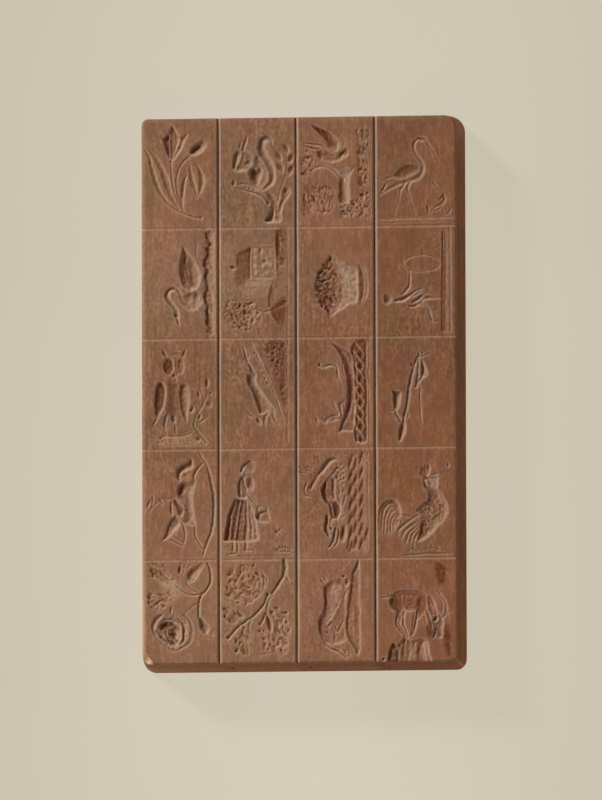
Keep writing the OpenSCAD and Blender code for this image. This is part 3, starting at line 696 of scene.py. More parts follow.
def owl(r):
    r.cut([(32, 19.8), (34.6, 24.6), (38, 30.6)], (1, 5, 4), (0.7, 1.6, 1.2), tone=-0.5)
    r.cut([(64.8, 19.6), (62.4, 24), (60.4, 30)], (1, 4.4, 3), (0.7, 1.4, 0.9), tone=-0.5)
    r.cut([(46, 27), (52, 25.5), (58, 26)], (1.6, 3.2, 1.6), 0.5)
    r.bowl((41, 43), (7.8, 12.8), 1.2, deep=(-0.1, 0.1), form=as_steep)
    r.tint(oval((41, 43.5), (7.6, 12)), -1.1)
    for at in range(9):
        r.bowl((41 + 4.2 * np.cos(at * 2.4), 43 + 7.5 * np.sin(at * 1.9)), (1.5, 1.8), 0.35, add=True)
    r.bowl((58, 43), (5.6, 12), 0.95, deep=(-0.1, 0), form=as_steep)
    r.tint([(57, 34), (62, 34), (63.6, 44), (60, 54), (58, 46)], 0.5)
    r.cut([(56, 36), (55.6, 42), (56, 48)], (1, 2, 1), 0.5, add=True, tone=-0.4)
    r.tint([(61, 70), (68, 74), (69.6, 90), (67, 108), (65.6, 116), (62, 104), (61, 86)], 0.45)
    r.cut([(51.3, 33), (51.2, 43), (53.2, 54)], (1.2, 3, 1.4), (0.7, 1.6, 0.8))
    r.bowl((48.6, 56), (3, 3.6), 1.5)
    r.cut([(53.5, 52), (52, 58), (49.5, 66)], (2.4, 3.4, 1), (0.7, 0.7, 0.3))
    r.fill([(43, 60), (50, 64), (56, 66), (56.5, 80), (57, 95), (57, 110), (48, 115), (37, 112),
            (37, 96), (39, 80), (36, 68)], 0.6, 11, form=as_soft)
    r.fill([(27, 63.5), (32, 64), (36, 69), (37.8, 77), (36.5, 88), (34, 99), (30, 108), (25, 115.5),
            (22, 108), (20.8, 95), (21.3, 80), (23.6, 69)], 1.4, 5, tilt=(-0.02, 0))
    r.tint([(27, 65), (34, 68), (37, 78), (35, 94), (30, 106), (25, 114), (21.6, 98), (22, 78)], -0.95)
    r.tint([(38, 64), (50, 64), (57, 70), (57, 108), (48, 116), (38, 110), (36, 96), (39, 80)], -0.4,
           soft=5)
    r.rib([(30, 70), (31.5, 84), (29, 100)], 3, 0.35)
    r.fill([(58.4, 68), (63, 66.3), (68.4, 72), (70.6, 82), (69.6, 95), (67.6, 108), (66.4, 122.5),
            (62, 114), (59, 103), (57, 90), (56.4, 77)], 1.1, 4.4, tilt=(-0.06, 0))
    r.cut([(58, 68), (56.8, 80), (58.4, 96), (62, 112)], (2, 3.4, 3.4, 2), 0.6, add=True, tone=-0.5)
    r.bowl((58.6, 70), (2, 2.6), 0.6, add=True)
    r.cut([(39.5, 108), (36.4, 116), (35, 124), (36, 131)], (4, 5, 4, 2), (0.8, 1.4, 1.2, 0.7))
    r.bowl((48.4, 114), (3.2, 7.6), 1.6, deep=(-0.2, 0))
    r.cut([(50, 121), (50, 128), (50.6, 135)], (2, 3, 1.8), (0.7, 1.2, 0.8))
    r.cut([(59, 112), (56, 121), (53.5, 132)], (2, 3, 1.5), (0.5, 0.6, 0.3))
    r.cut([(27, 113.5), (21.5, 119.5), (20, 123.5), (23, 129), (31.5, 137)], (2, 4, 4.4, 4, 2),
          (0.7, 1.0, 0.8, 0.8, 0.5))
    r.cut([(20.5, 128), (22.5, 134), (26, 138)], 2.4, 0.7)
    r.pits([(30, 141.5), (34, 138.5), (27.5, 147), (33, 146)], (2, 2.8), 0.9)
    r.cut([(35, 137), (48, 138.4), (60, 138), (70, 135.4), (75, 131)], (2, 4.4, 4.6, 4, 2.4),
          (0.4, 0.7, 0.7, 0.7, 0.5))
    r.cut([(56, 135), (64, 133.6), (73, 129.6)], (1.6, 2.6, 2), 0.6)
    r.tint([(33, 139), (60, 139), (74, 137), (88, 149), (92, 153), (30, 153)], 0.45)
    for at in range(15):
        u = 31 + 3.9 * at + np.sin(2.3 * at)
        r.cut([(u, 141.5 + np.sin(at)), (u + 0.6, 145), (u + 0.4, 149.5 - np.cos(at))], (0.8, 1.7, 0.8),
              0.35, tone=-0.3)
    r.cut([(34, 151.6), (60, 151), (92, 151.6)], (1, 2.2, 1), 0.4, tone=0.3)
    r.cut([(75, 126), (81, 134), (87, 141), (93, 148)], (3, 4.4, 5.4, 6), (0.8, 1.1, 1.2, 1.0))
    r.bowl((82.5, 142.5), (3, 4), 1.2, turn=-35)
    r.cut([(75, 125), (77, 115), (82, 105), (88, 96), (93, 86), (95.6, 76), (95.4, 66)],
          (3, 3, 2.8, 2.6, 2.4, 2.2, 1.6), (1.0, 1.0, 0.9, 0.8, 0.8, 0.7, 0.5))
    r.bowl((93.6, 66), (3, 7.2), 1.4, deep=(-0.2, 0))
    r.bowl((82.6, 82.5), (2.4, 5.4), 1.3, turn=-18, deep=(-0.2, 0))
    r.bowl((73, 102), (2.7, 5.8), 1.3, turn=16, deep=(-0.2, 0))
    r.bowl((98.8, 80.5), (1.8, 2.6), 1.0)
    r.bowl((97, 95), (4.6, 5.6), 0.9, turn=25, deep=(-0.2, 0))
    r.bowl((83, 113), (2.4, 5), 1.1, turn=12)
    r.cut([(82.5, 121), (88, 116.5), (94.5, 112)], (2, 4, 2), (0.5, 0.8, 0.5))
    r.cut([(79, 126), (80.5, 120), (82, 116)], (1.6, 2.6, 1.6), 0.7)
    r.cut([(77, 97), (80, 101), (81, 106)], (1.6, 3, 1.6), 0.6)
    r.cut([(84.5, 40), (84.4, 58), (84.6, 75), (88, 84), (88.6, 94)], (1, 1.6, 1.8, 2.2, 2),
          (0.25, 0.4, 0.45, 0.6, 0.6))


def leaping_deer(r):
    r.cut([(36.2, 15.5), (39.4, 25), (42, 34), (47, 43), (50.6, 52), (52, 62)], (2, 4, 5, 6, 8, 8),
          (0.7, 1.1, 1.2, 1.3, 1.3, 1.1))
    r.cut([(33.5, 18), (35.6, 27), (38.6, 35.5)], (1.2, 2, 2.6), (0.4, 0.6, 1.0))
    r.cut([(44.8, 25), (45.2, 29), (44.6, 33)], (1.4, 2.6, 1.2), 0.9)
    r.cut([(46, 42), (48, 47), (48, 53)], (1.6, 3.4, 2), 0.7, add=True)
    body = [(43.4, 53), (41.8, 61), (45.5, 71), (50.5, 81), (54, 92), (56.5, 102), (60.5, 109),
            (67, 109), (72.5, 106), (80, 112.5), (81.5, 104), (77, 97), (70, 88), (63, 78.5), (57, 69),
            (53, 55)]
    r.fill(body, 1.5, 7, tilt=(-0.02, 0))
    r.tint([(52, 56), (62, 72), (77, 94), (80, 108), (68, 100), (57, 78)], 0.7)
    r.cut([(43.6, 56), (44.5, 64), (50, 75), (55.5, 86), (59.5, 98), (61, 106)], (4, 6, 6, 7, 8, 6),
          0.55, add=True, tone=-0.4)
    r.rib([(53, 60), (57, 71), (65, 83), (73, 95)], 3, 0.35)
    r.cut([(34, 58.5), (37.2, 63.6), (40.8, 68.6)], (1.6, 3, 1.6), (0.7, 1.1, 0.6))
    r.cut([(43.5, 106), (47.6, 110.6), (53, 113.2)], (2, 3.4, 2.4), (0.8, 1.1, 0.8))
    r.cut([(42.8, 113.5), (46, 117), (49.5, 118.8)], (2, 3, 1.4), (0.9, 0.9, 0.5))
    r.bowl((58.4, 119), (3, 6), 1.3, turn=-24, deep=(-0.1, 0))
    r.cut([(71, 107), (66.5, 116), (66, 130)], (5, 6, 3), (0.9, 1.0, 0.5))
    r.cut([(74, 116.5), (75, 120.5), (77, 124.5)], (1.8, 2.8, 1.4), 1.0)
    r.cut([(76, 106.5), (79.5, 115), (85.4, 123)], (2.4, 3.8, 2.4), (0.9, 1.2, 0.8))
    slope = [(49, 12), (56.6, 28), (65.6, 48), (74.6, 67), (81.6, 86), (88, 103), (94, 122)]
    r.cut(slope, 3.4, 0.75, lean=0.2)
    r.streak(slope, 7, 0.5)
    for place in ((52.8, 25.5), (56, 30), (58, 34), (64.8, 54), (70.2, 67.5), (61, 46), (67, 60)):
        r.bowl(place, (1.5, 2.6), 0.9, turn=-25)
    r.cut([(82.5, 90), (84.8, 96), (86.2, 101)], (1.6, 2.8, 1.4), 1.2)
    r.cut([(90, 109), (91.4, 114), (93, 120)], 1.6, 0.8)
    thicket = [(57, 9.6), (76, 9.6), (96, 9.6), (97, 60), (98, 110), (97.5, 130), (94.5, 120),
               (88.5, 101), (80, 79), (70.5, 57), (61, 33)]
    r.fill(thicket, 0.3, 3, smooth=False)
    r.leafy([(60, 11), (96, 11), (96, 66), (91, 84), (84, 70), (74, 44)], 0.1, 0.4, 31, size=2.6,
            add=True)
    r.tint([(66, 12), (96, 11), (96, 70), (94, 100), (84, 70), (74, 40)], -0.75, soft=5)
    r.tint([(90, 62), (96, 60), (97, 112), (93, 110), (86, 82)], -0.35, soft=4)
    for place, size in (
        ((78.4, 26.5), 3), ((78.4, 36), 3.4), ((81, 17.5), 2.6), ((85.5, 39), 2.6), ((88, 22), 2.2),
        ((84, 44), 2.2), ((82, 62), 1.8), ((91, 82), 2),
    ):
        r.bowl(place, (size, size * 1.1), 1.4)
    sprigs(r, [(84, 62), (95, 60), (95, 112), (90, 100)], 14, 32, length=9, width=2.2, depth=0.4,
           spread=20)
    r.cut([(97.8, 4), (98, 50), (98.2, 100), (98, 148)], 3.2, 0.6, lean=0.4)


def boat(r):
    hull = [(52.5, 15), (61, 25), (68, 38), (72, 52), (73.6, 68), (73.4, 84), (71.5, 100), (66.5, 118),
            (60, 134.5), (66, 133.4), (79.6, 133), (81, 118), (83, 100), (82.2, 78), (81, 58), (79, 42),
            (76.6, 28), (67, 20.5)]
    r.fill(hull, 0.9, 3)
    r.tint(hull, -0.2, soft=3)
    r.cut([(52.5, 15), (61.5, 25.5), (67.6, 37), (72, 50), (74.8, 64), (75.4, 78), (74.4, 92),
           (71.6, 106), (66.6, 120), (60.6, 134)], (3, 8, 10, 11, 11.4, 11.4, 11, 10, 8, 4),
          (0.8, 1.7, 2.0, 2.1, 2.2, 2.2, 2.2, 2.1, 1.8, 1.2), lean=-0.2, tone=-0.6)
    r.cut([(33, 44), (37, 45.5), (41, 45)], (5, 6, 3), (1.2, 0.7, 0.6))
    r.bowl((32.3, 43), (2.2, 3), 1.4)
    r.cut([(40, 46), (47, 43.4), (54, 44), (57.5, 47)], (4, 4, 3.6, 3), (0.8, 1.0, 1.0, 1.0))
    r.cut([(57.8, 46.5), (58.4, 53), (59.4, 60), (62.5, 68)], (3, 3.8, 3.2, 2), (0.9, 1.2, 0.8, 0.4))
    r.cut([(61, 33), (64.6, 43), (65.8, 52), (69, 61)], (1.4, 2.6, 2.6, 1.6), (0.5, 0.9, 0.9, 0.5))
    r.cut([(60, 62), (63, 72), (64, 84)], (1.4, 3, 1.4), 0.45)
    r.cut([(28, 115), (28.8, 119.5), (29.8, 124)], (1.6, 3.2, 1.8), 1.2)
    r.cut([(36.8, 114.5), (36.6, 119)], (2.4, 2.6), 0.8)
    r.bowl((41.5, 120), (4, 4.4), 0.8, deep=(-0.2, -0.2))
    r.cut([(43, 120.5), (45, 116), (50, 113.6), (55, 112.4), (59, 112)], (2.6, 4.6, 4.6, 4, 3.4),
          (0.8, 1.2, 1.2, 1.1, 0.9))
    r.fill([(45, 116), (53, 113.5), (61, 113.5), (62, 118), (56, 120), (47, 122)], 0.7, 4)
    r.cut([(52.8, 93.5), (55, 101), (59.4, 109.5)], (2.2, 3.4, 3), (0.8, 1.2, 1.0))
    r.cut([(66, 91.5), (61.8, 97), (62.6, 104), (63.6, 112), (62, 118)], (2, 4.4, 4.4, 4.4, 2.4),
          (0.6, 1.3, 1.4, 1.3, 0.9))
    r.cut([(71, 89), (65.6, 96), (67.6, 105), (67, 114), (61, 121)], (1.6, 3, 3, 3, 2),
          (0.4, 0.7, 0.7, 0.8, 0.6))
    waves = [(85, 10), (79, 19), (78.4, 27), (80.6, 38), (82.6, 50), (83.6, 62), (83, 73), (84.6, 84),
             (84, 94), (86.6, 104), (84, 115), (85, 124), (82, 134), (84, 147.5)]
    water = waves + [(98, 147.5), (98.5, 120), (98.6, 80), (98.4, 40), (98, 10)]
    r.fill(water, 0.75, 3)
    r.tint(water, -0.7)
    for line in (
        [(32, 44), (42, 45), (54, 44), (58, 50), (61, 66)],
        [(30, 119), (41, 120), (50, 115), (60, 112), (63, 100)], [(53, 94), (57, 103), (61, 112)],
    ):
        r.streak(line, 6, 0.5)
    r.cut(waves, (3, 5, 5, 5.4, 5, 5, 5, 5, 5, 5, 5, 5, 5, 4), 1.5, tone=-0.5)
    r.cut([(96.8, 12), (95.4, 25), (96.2, 39), (95, 52), (96.4, 66), (96.6, 78), (97.4, 92), (96, 105),
           (95.2, 118), (96.2, 131), (95.4, 146)], (2.4, 4, 4, 4, 4, 4, 4, 4, 4.4, 4.4, 3.6), 1.4,
          tone=-0.5)
    for at in range(8):
        v = 17 + 16.4 * at + 2.4 * np.sin(3.1 * at)
        twist = [(82, v - 8), (86, v), (91.5, v + 6), (95, v + 13)]
        r.rib(twist, 3.6, 0.9)
        r.streak(twist, 3.4, 0.9)
        back = [(95, v - 5), (91.4, v + 1), (87, v + 5), (84, v + 11)]
        r.rib(back, 2.2, 0.35)
        r.streak(back, 2, 0.2 + 0.2 * (at % 3))
        r.bowl((89.6, v + 13.5), (2.8, 5.4), 1.1, turn=-15, deep=(-0.2, 0), add=True)
        r.tint(oval((89.6, v + 13.5), (2.6, 5)), -0.8, soft=2)
    r.cut([(100.4, 8), (101, 60), (101.4, 110), (101.2, 149)], 3, 0.55, lean=0.4)


def crossed_tools(r):
    r.cut([(60.5, 31), (56, 43), (52, 57), (49, 72), (46.6, 88), (44, 104)], (3.4, 5.4, 6, 6, 6, 5.4),
          (0.9, 1.2, 1.3, 1.3, 1.3, 1.2), lean=0.2, tone=-0.3)
    r.cut([(43.4, 103), (42, 111), (41, 119)], (5, 6, 3.6), (1.5, 1.6, 1.1))
    r.cut([(45.5, 107), (47.4, 111), (46, 116)], (2, 3.4, 1.6), 0.7)
    r.pits([(61.5, 28.5), (66.5, 26.6)], (1.8, 2.4), 1.1)
    r.bowl((52, 42.6), (2, 4.4), 1.3)
    r.cut([(61, 32), (72, 29), (83.4, 24.6)], (2.6, 3, 1.6), (0.9, 0.7, 0.5))
    r.cut([(83.6, 26), (84, 34)], (1.4, 1), (0.3, 0.2))
    r.fill([(66.4, 33.5), (70.6, 44), (74.4, 55.5), (71, 59.4), (64.6, 60.6), (64, 50), (64.8, 40)], 1.0,
           5, tilt=(-0.06, 0))
    r.bowl((66.8, 48.6), (2.5, 10.4), 1.2, turn=2, add=True)
    r.cut([(61.4, 35), (61.2, 48), (60.4, 58), (58.6, 68)], (2.4, 4, 4.4, 5), (0.8, 1.1, 1.2, 1.3))
    r.cut([(68, 59), (64.5, 62), (60, 68), (57.6, 73)], (2, 4, 5, 4), (0.6, 0.9, 1.2, 1.4))
    r.cut([(57.5, 74.6), (60.5, 72.6), (63.5, 70.5)], (1.4, 2.6, 2), 0.7)
    r.cut([(62.8, 75), (63.2, 92), (64, 109), (65, 124.5)], (2.8, 3.2, 3.2, 2.8), (0.9, 0.9, 0.9, 0.7))
    r.fill([(24.6, 76.4), (32, 78.8), (38.8, 79.8), (37, 90), (33.6, 103.4), (28, 105.6), (26, 97),
            (25.4, 87)], 1.7, 7, tilt=(-0.06, 0), smooth=False)
    r.tint([(25, 77), (32, 79), (31, 92), (29, 104), (26, 97)], -0.5)
    r.cut([(22.6, 106), (27, 104.6), (31, 102.8)], (1.6, 2.6, 2), 0.9)
    r.cut([(29.4, 106), (32.6, 113), (36.6, 121)], (4, 5, 5), (1.1, 1.2, 1.2))
    r.cut([(29, 110), (30, 114), (31.6, 117)], (1.6, 2.6, 1.4), 0.5, add=True)
    r.fill([(38.6, 118.6), (43.4, 120.6), (44.4, 130), (42.4, 139), (37, 148), (34, 146.4), (33.2, 136),
            (35, 126)], 1.7, 6, tilt=(-0.09, 0))
    r.tint([(38, 119), (41, 121), (39, 136), (36, 147), (33.6, 136)], -0.5)


def archer(r):
    cap = [(51, 45), (50.4, 37), (54, 30), (61, 26.4), (67, 23.5), (71.6, 18), (75, 23), (74, 31),
           (65, 36.6), (58.4, 41), (56.4, 51), (53.6, 52)]
    r.fill(cap, 1.5, 5)
    r.tint([(51, 44), (54, 31), (66, 25), (72, 20), (72, 29), (60, 36), (55, 48)], -0.4)
    r.bowl((64, 42), (7, 7.5), 0.6, form=as_soft)
    r.cut([(88, 25.5), (80.5, 32.5), (76.4, 39.5), (75.4, 49)], (2, 4, 4.4, 3.4), (0.7, 1.2, 1.3, 1.0))
    torso = [(60, 51), (54, 57), (51.4, 64), (52.4, 71), (57.5, 78.5), (61, 86), (62.4, 96), (62, 107),
             (70, 111), (78.4, 112), (77.6, 102), (75.8, 90), (74.4, 76), (75.4, 64), (80, 53),
             (77.4, 47.5), (69, 52)]
    r.fill(torso, 1.5, 9, tilt=(-0.03, 0))
    r.tint([(66, 54), (78, 50), (75, 64), (74, 80), (77, 104), (78, 111), (70, 110), (67, 96), (66, 76)],
           0.5, soft=4)
    r.tint([(47, 112), (56, 104), (60, 112), (52, 124), (45, 124)], 0.5)
    r.bowl((56.6, 61), (4.6, 10), 0.8, turn=6, add=True)
    r.tint([(58, 53), (64, 54), (62, 64), (57, 74), (52.6, 68), (54, 58)], -0.75)
    hip = [(47.4, 72.5), (51, 75.5), (57.4, 83), (62.6, 88), (61.6, 95.5), (57, 99.5), (54, 97),
           (51.6, 88), (48.2, 80)]
    r.fill(hip, 1.5, 5, tilt=(-0.04, 0))
    r.tint(hip, -0.35)
    r.rib([(50, 69.5), (56, 77), (63.5, 87)], 3.2, 1.2)
    r.cut([(45, 79.5), (44.2, 88), (44.8, 97.5)], (3, 4.8, 2.8), (1.1, 1.7, 1.0))
    r.cut([(28, 75.5), (35, 74), (42, 74), (48.4, 71.5)], (2, 3.4, 3.4, 2), 0.6)
    r.cut([(33, 75), (38, 78), (41.6, 82)], (1.4, 2.4, 1.6), 0.7)
    r.cut([(14.8, 76.5), (12.8, 81.5), (11.4, 85.5)], (2, 4, 1.6), 1.4)
    r.cut([(18.7, 70), (18.4, 76), (18, 82)], (1.2, 2.8, 1.4), 1.0)
    r.cut([(27.4, 73.5), (30, 77.6), (33, 81.5)], (2.4, 4.6, 2), 1.1)
    r.cut([(12.8, 95.5), (15, 90), (19.4, 84)], (1, 2.4, 1.4), 0.8)
    r.cut([(20, 84.5), (24, 80.5), (28, 77)], (2, 4, 2), 0.6)
    thigh = [(50.6, 98), (45, 103), (40, 112), (37.4, 122), (34.6, 128.4), (39, 129), (44.4, 123),
             (50.4, 116), (56.4, 108), (55.6, 102)]
    r.fill(thigh, 1.1, 6)
    r.cut([(51, 98.5), (45.6, 104), (41, 112), (38.6, 121), (36, 127), (31.6, 131)],
          (2.6, 4.6, 6, 6, 4, 1.8), (1.2, 1.7, 1.9, 1.8, 1.4, 0.7))
    r.cut([(57.6, 106), (61, 112), (62.6, 120), (62.2, 128), (60.6, 136)], (2, 3, 3.2, 3, 2),
          (0.8, 1.1, 1.1, 1.1, 0.8))
    r.cut([(42.6, 129), (50, 133), (55, 136), (61, 139)], (2.4, 4.6, 4, 2), 0.9)
    r.cut([(48, 123.5), (54, 129), (60, 133.5)], (2, 4, 2.4), 0.6)
    r.pits([(66.6, 89), (71, 95.4), (72, 98.4), (68, 94), (70, 104), (74, 109)], (1.5, 1.9), 0.3,
           add=True)
    r.cut([(33.6, 105.5), (31, 111), (28.8, 115.6)], (1, 1.6, 1), 0.4)
    r.cut([(76.4, 108), (76.6, 118), (77.4, 127), (83, 136.5), (88, 144)], (1.6, 3.2, 3.2, 2.8, 2.8),
          (0.6, 0.9, 1.0, 0.9, 0.8))
    r.cut([(83, 10.6), (87.4, 20), (92.4, 28), (96.6, 40), (100.2, 55), (102.2, 70), (102.8, 90),
           (101.4, 105), (98.4, 120), (94.6, 132), (90, 144), (87.8, 152.6)],
          (2, 3.4, 4.4, 5, 5.2, 5.4, 5.6, 5.4, 5, 4.6, 3.8, 2.6), 1.2, lean=0.2, tone=0.15)
    r.streak([(86, 22), (95, 41), (100, 68), (100.4, 90), (97, 117), (89, 142)], (1, 2, 2.4, 2.4, 2, 1),
             -0.7)


def girl_with_can(r):
    r.cut([(34.2, 36), (37, 31), (41, 26.4), (46, 23.4), (51.4, 22)], (3.6, 7, 6.6, 5, 1.8),
          (1.3, 1.7, 1.6, 1.3, 0.5))
    r.bowl((47.6, 30.6), (7.6, 8.6), 1.0, deep=(-0.3, -0.2))
    r.cut([(39, 37.5), (39.6, 43), (37.6, 47.5)], (2.4, 4, 2.4), 0.8)
    r.bowl((47.6, 54.5), (5.8, 11.6), 1.3, deep=(-0.4, 0))
    r.cut([(41, 41.5), (46, 42), (51, 46.5)], (2, 3.4, 2), 0.6)
    bodice = [(36, 43), (31.4, 47), (28.8, 55), (29.2, 65), (31, 72.5), (38, 74.5), (43.4, 72),
              (40.4, 62), (38.8, 52)]
    r.fill(bodice, 1.3, 5)
    r.tint([(36, 44), (31, 48), (29, 56), (29.6, 70), (34, 73), (34, 58)], -0.7, soft=2)
    r.rib([(33.6, 49), (34.8, 59), (35.8, 69)], 3.4, 1.0)
    r.cut([(36.6, 44.5), (38.6, 54), (40.6, 63), (44, 70.5), (50, 77), (55.6, 82.4)],
          (3, 5.4, 5.6, 5, 4.8, 3), (1.1, 1.6, 1.6, 1.4, 1.3, 0.8))
    r.cut([(45, 66.5), (51, 73), (58.4, 79.4)], (3, 4.6, 2), 0.8)
    skirt = [(27, 73), (32, 74.5), (40, 76), (46, 80), (51, 87), (54, 98), (56.6, 112), (58.4, 129.5),
             (50, 132), (38, 133), (24, 132.6), (10.6, 131), (12.4, 115), (16, 98), (20, 84)]
    r.fill(skirt, 1.25, 5, tilt=(-0.012, 0))
    r.tint([(27, 74), (40, 76), (42, 100), (40, 132), (24, 132), (11, 130), (16, 98)], -0.75, soft=4)
    r.tint([(44, 80), (53, 94), (58, 128), (44, 131), (43, 104)], 0.6, soft=3)
    pleats = (
        ([(25, 76), (18.6, 95), (13.6, 129)], (4, 7, 7)),
        ([(32, 76), (30, 87), (25, 106), (22.4, 129)], (3.4, 5, 5, 5)),
        ([(37.4, 79), (33.4, 95), (30.4, 111), (29.6, 130)], (2.6, 4.6, 5, 4.6)),
        ([(41, 80), (41.6, 95), (41, 111), (39.6, 130)], (2.4, 3.8, 4, 3.6)),
        ([(46, 85), (47.6, 105), (48, 129)], (2, 3.2, 3)),
        ([(49.6, 90), (52.6, 108), (54.4, 128)], (1.6, 2.4, 2.4)),
    )
    for pleat, width in pleats:
        r.cut(pleat, width, (0.4, 0.7, 0.7), add=True, tone=-0.5)
    for ridge in (
        [(28.6, 76), (22, 98), (18, 129)], [(34.8, 77), (31, 94), (26.4, 128)],
        [(39, 78), (38, 100), (35, 130)], [(43, 80), (45, 104), (44, 130)],
    ):
        r.rib(ridge, 2.6, 0.55)
    for leg, width in (
        ([(23, 133), (23, 139), (22.6, 144)], 3.6), ([(30, 134), (30, 140), (30, 145.5)], 3),
        ([(41, 134), (41, 139), (40.6, 144.4)], 4.6),
    ):
        r.cut(leg, width, 1.1)
    r.cut([(39, 144.6), (45, 143.6), (51.4, 143.8)], (2, 3, 2), 0.8)
    r.cut([(50.6, 144), (51.6, 147), (52.4, 149.5)], (2, 2.6, 1.4), 0.9)
    r.cut([(14.6, 150), (21, 148.4), (27.4, 149.2)], (2.4, 3.8, 2), 0.9)
    r.cut([(23, 146), (27, 147.6), (31, 147.4)], 1.8, 0.5)
    r.cut([(9, 152.8), (40, 152.2), (80, 151.6), (105, 151)], 1.8, 0.4)
    can = [(55, 94), (62, 91), (70.4, 88), (72.8, 95), (74.4, 105), (66, 106.4), (56.6, 104)]
    r.fill(can, 0.9, 3, tilt=(-0.03, 0))
    r.bowl((57, 99.4), (3, 5.4), 0.9, turn=-12, add=True)
    r.cut([(56.6, 92), (57.6, 86), (61.4, 83), (67, 84), (70.6, 87.4)], (2.6, 2.8, 2.2, 2.2, 3.4),
          (1.0, 1.2, 0.8, 0.8, 1.2))
    r.cut([(61, 92.8), (65, 92.6), (69, 91)], 2, 0.5, add=True)
    r.rib([(61, 98), (66, 97), (71, 95)], 2.2, 0.4)
    r.cut([(73, 104.5), (78, 110), (83, 116)], (2.4, 3, 2.6), 0.7)
    r.cut([(81.4, 116.6), (83.4, 121.6), (86, 118), (88.6, 114.8)], (2.2, 3.8, 2.6, 1.8), 1.2)
    r.cut([(86, 121), (88, 123.6), (90, 126.6)], (1.4, 2.4, 1.4), 0.9)
    r.pits([(97.4, 117), (94, 122), (98, 124), (97, 130), (92, 131)], (1, 1.5), 0.35)
    for at in range(7):
        angle = np.radians(200 + 20 * at)
        ray = [(93 + (9 + out) * np.cos(angle), 147.5 + (5 + out) * np.sin(angle)) for out in (0, 2, 4)]
        r.cut(ray, (2, 3.4, 2), 1.2 - 0.06 * at, tone=-0.5)
    r.cut([(83.6, 148), (92, 146.2), (100, 146.6), (107, 149.4)], (2, 3.6, 3.6, 2), 0.7)


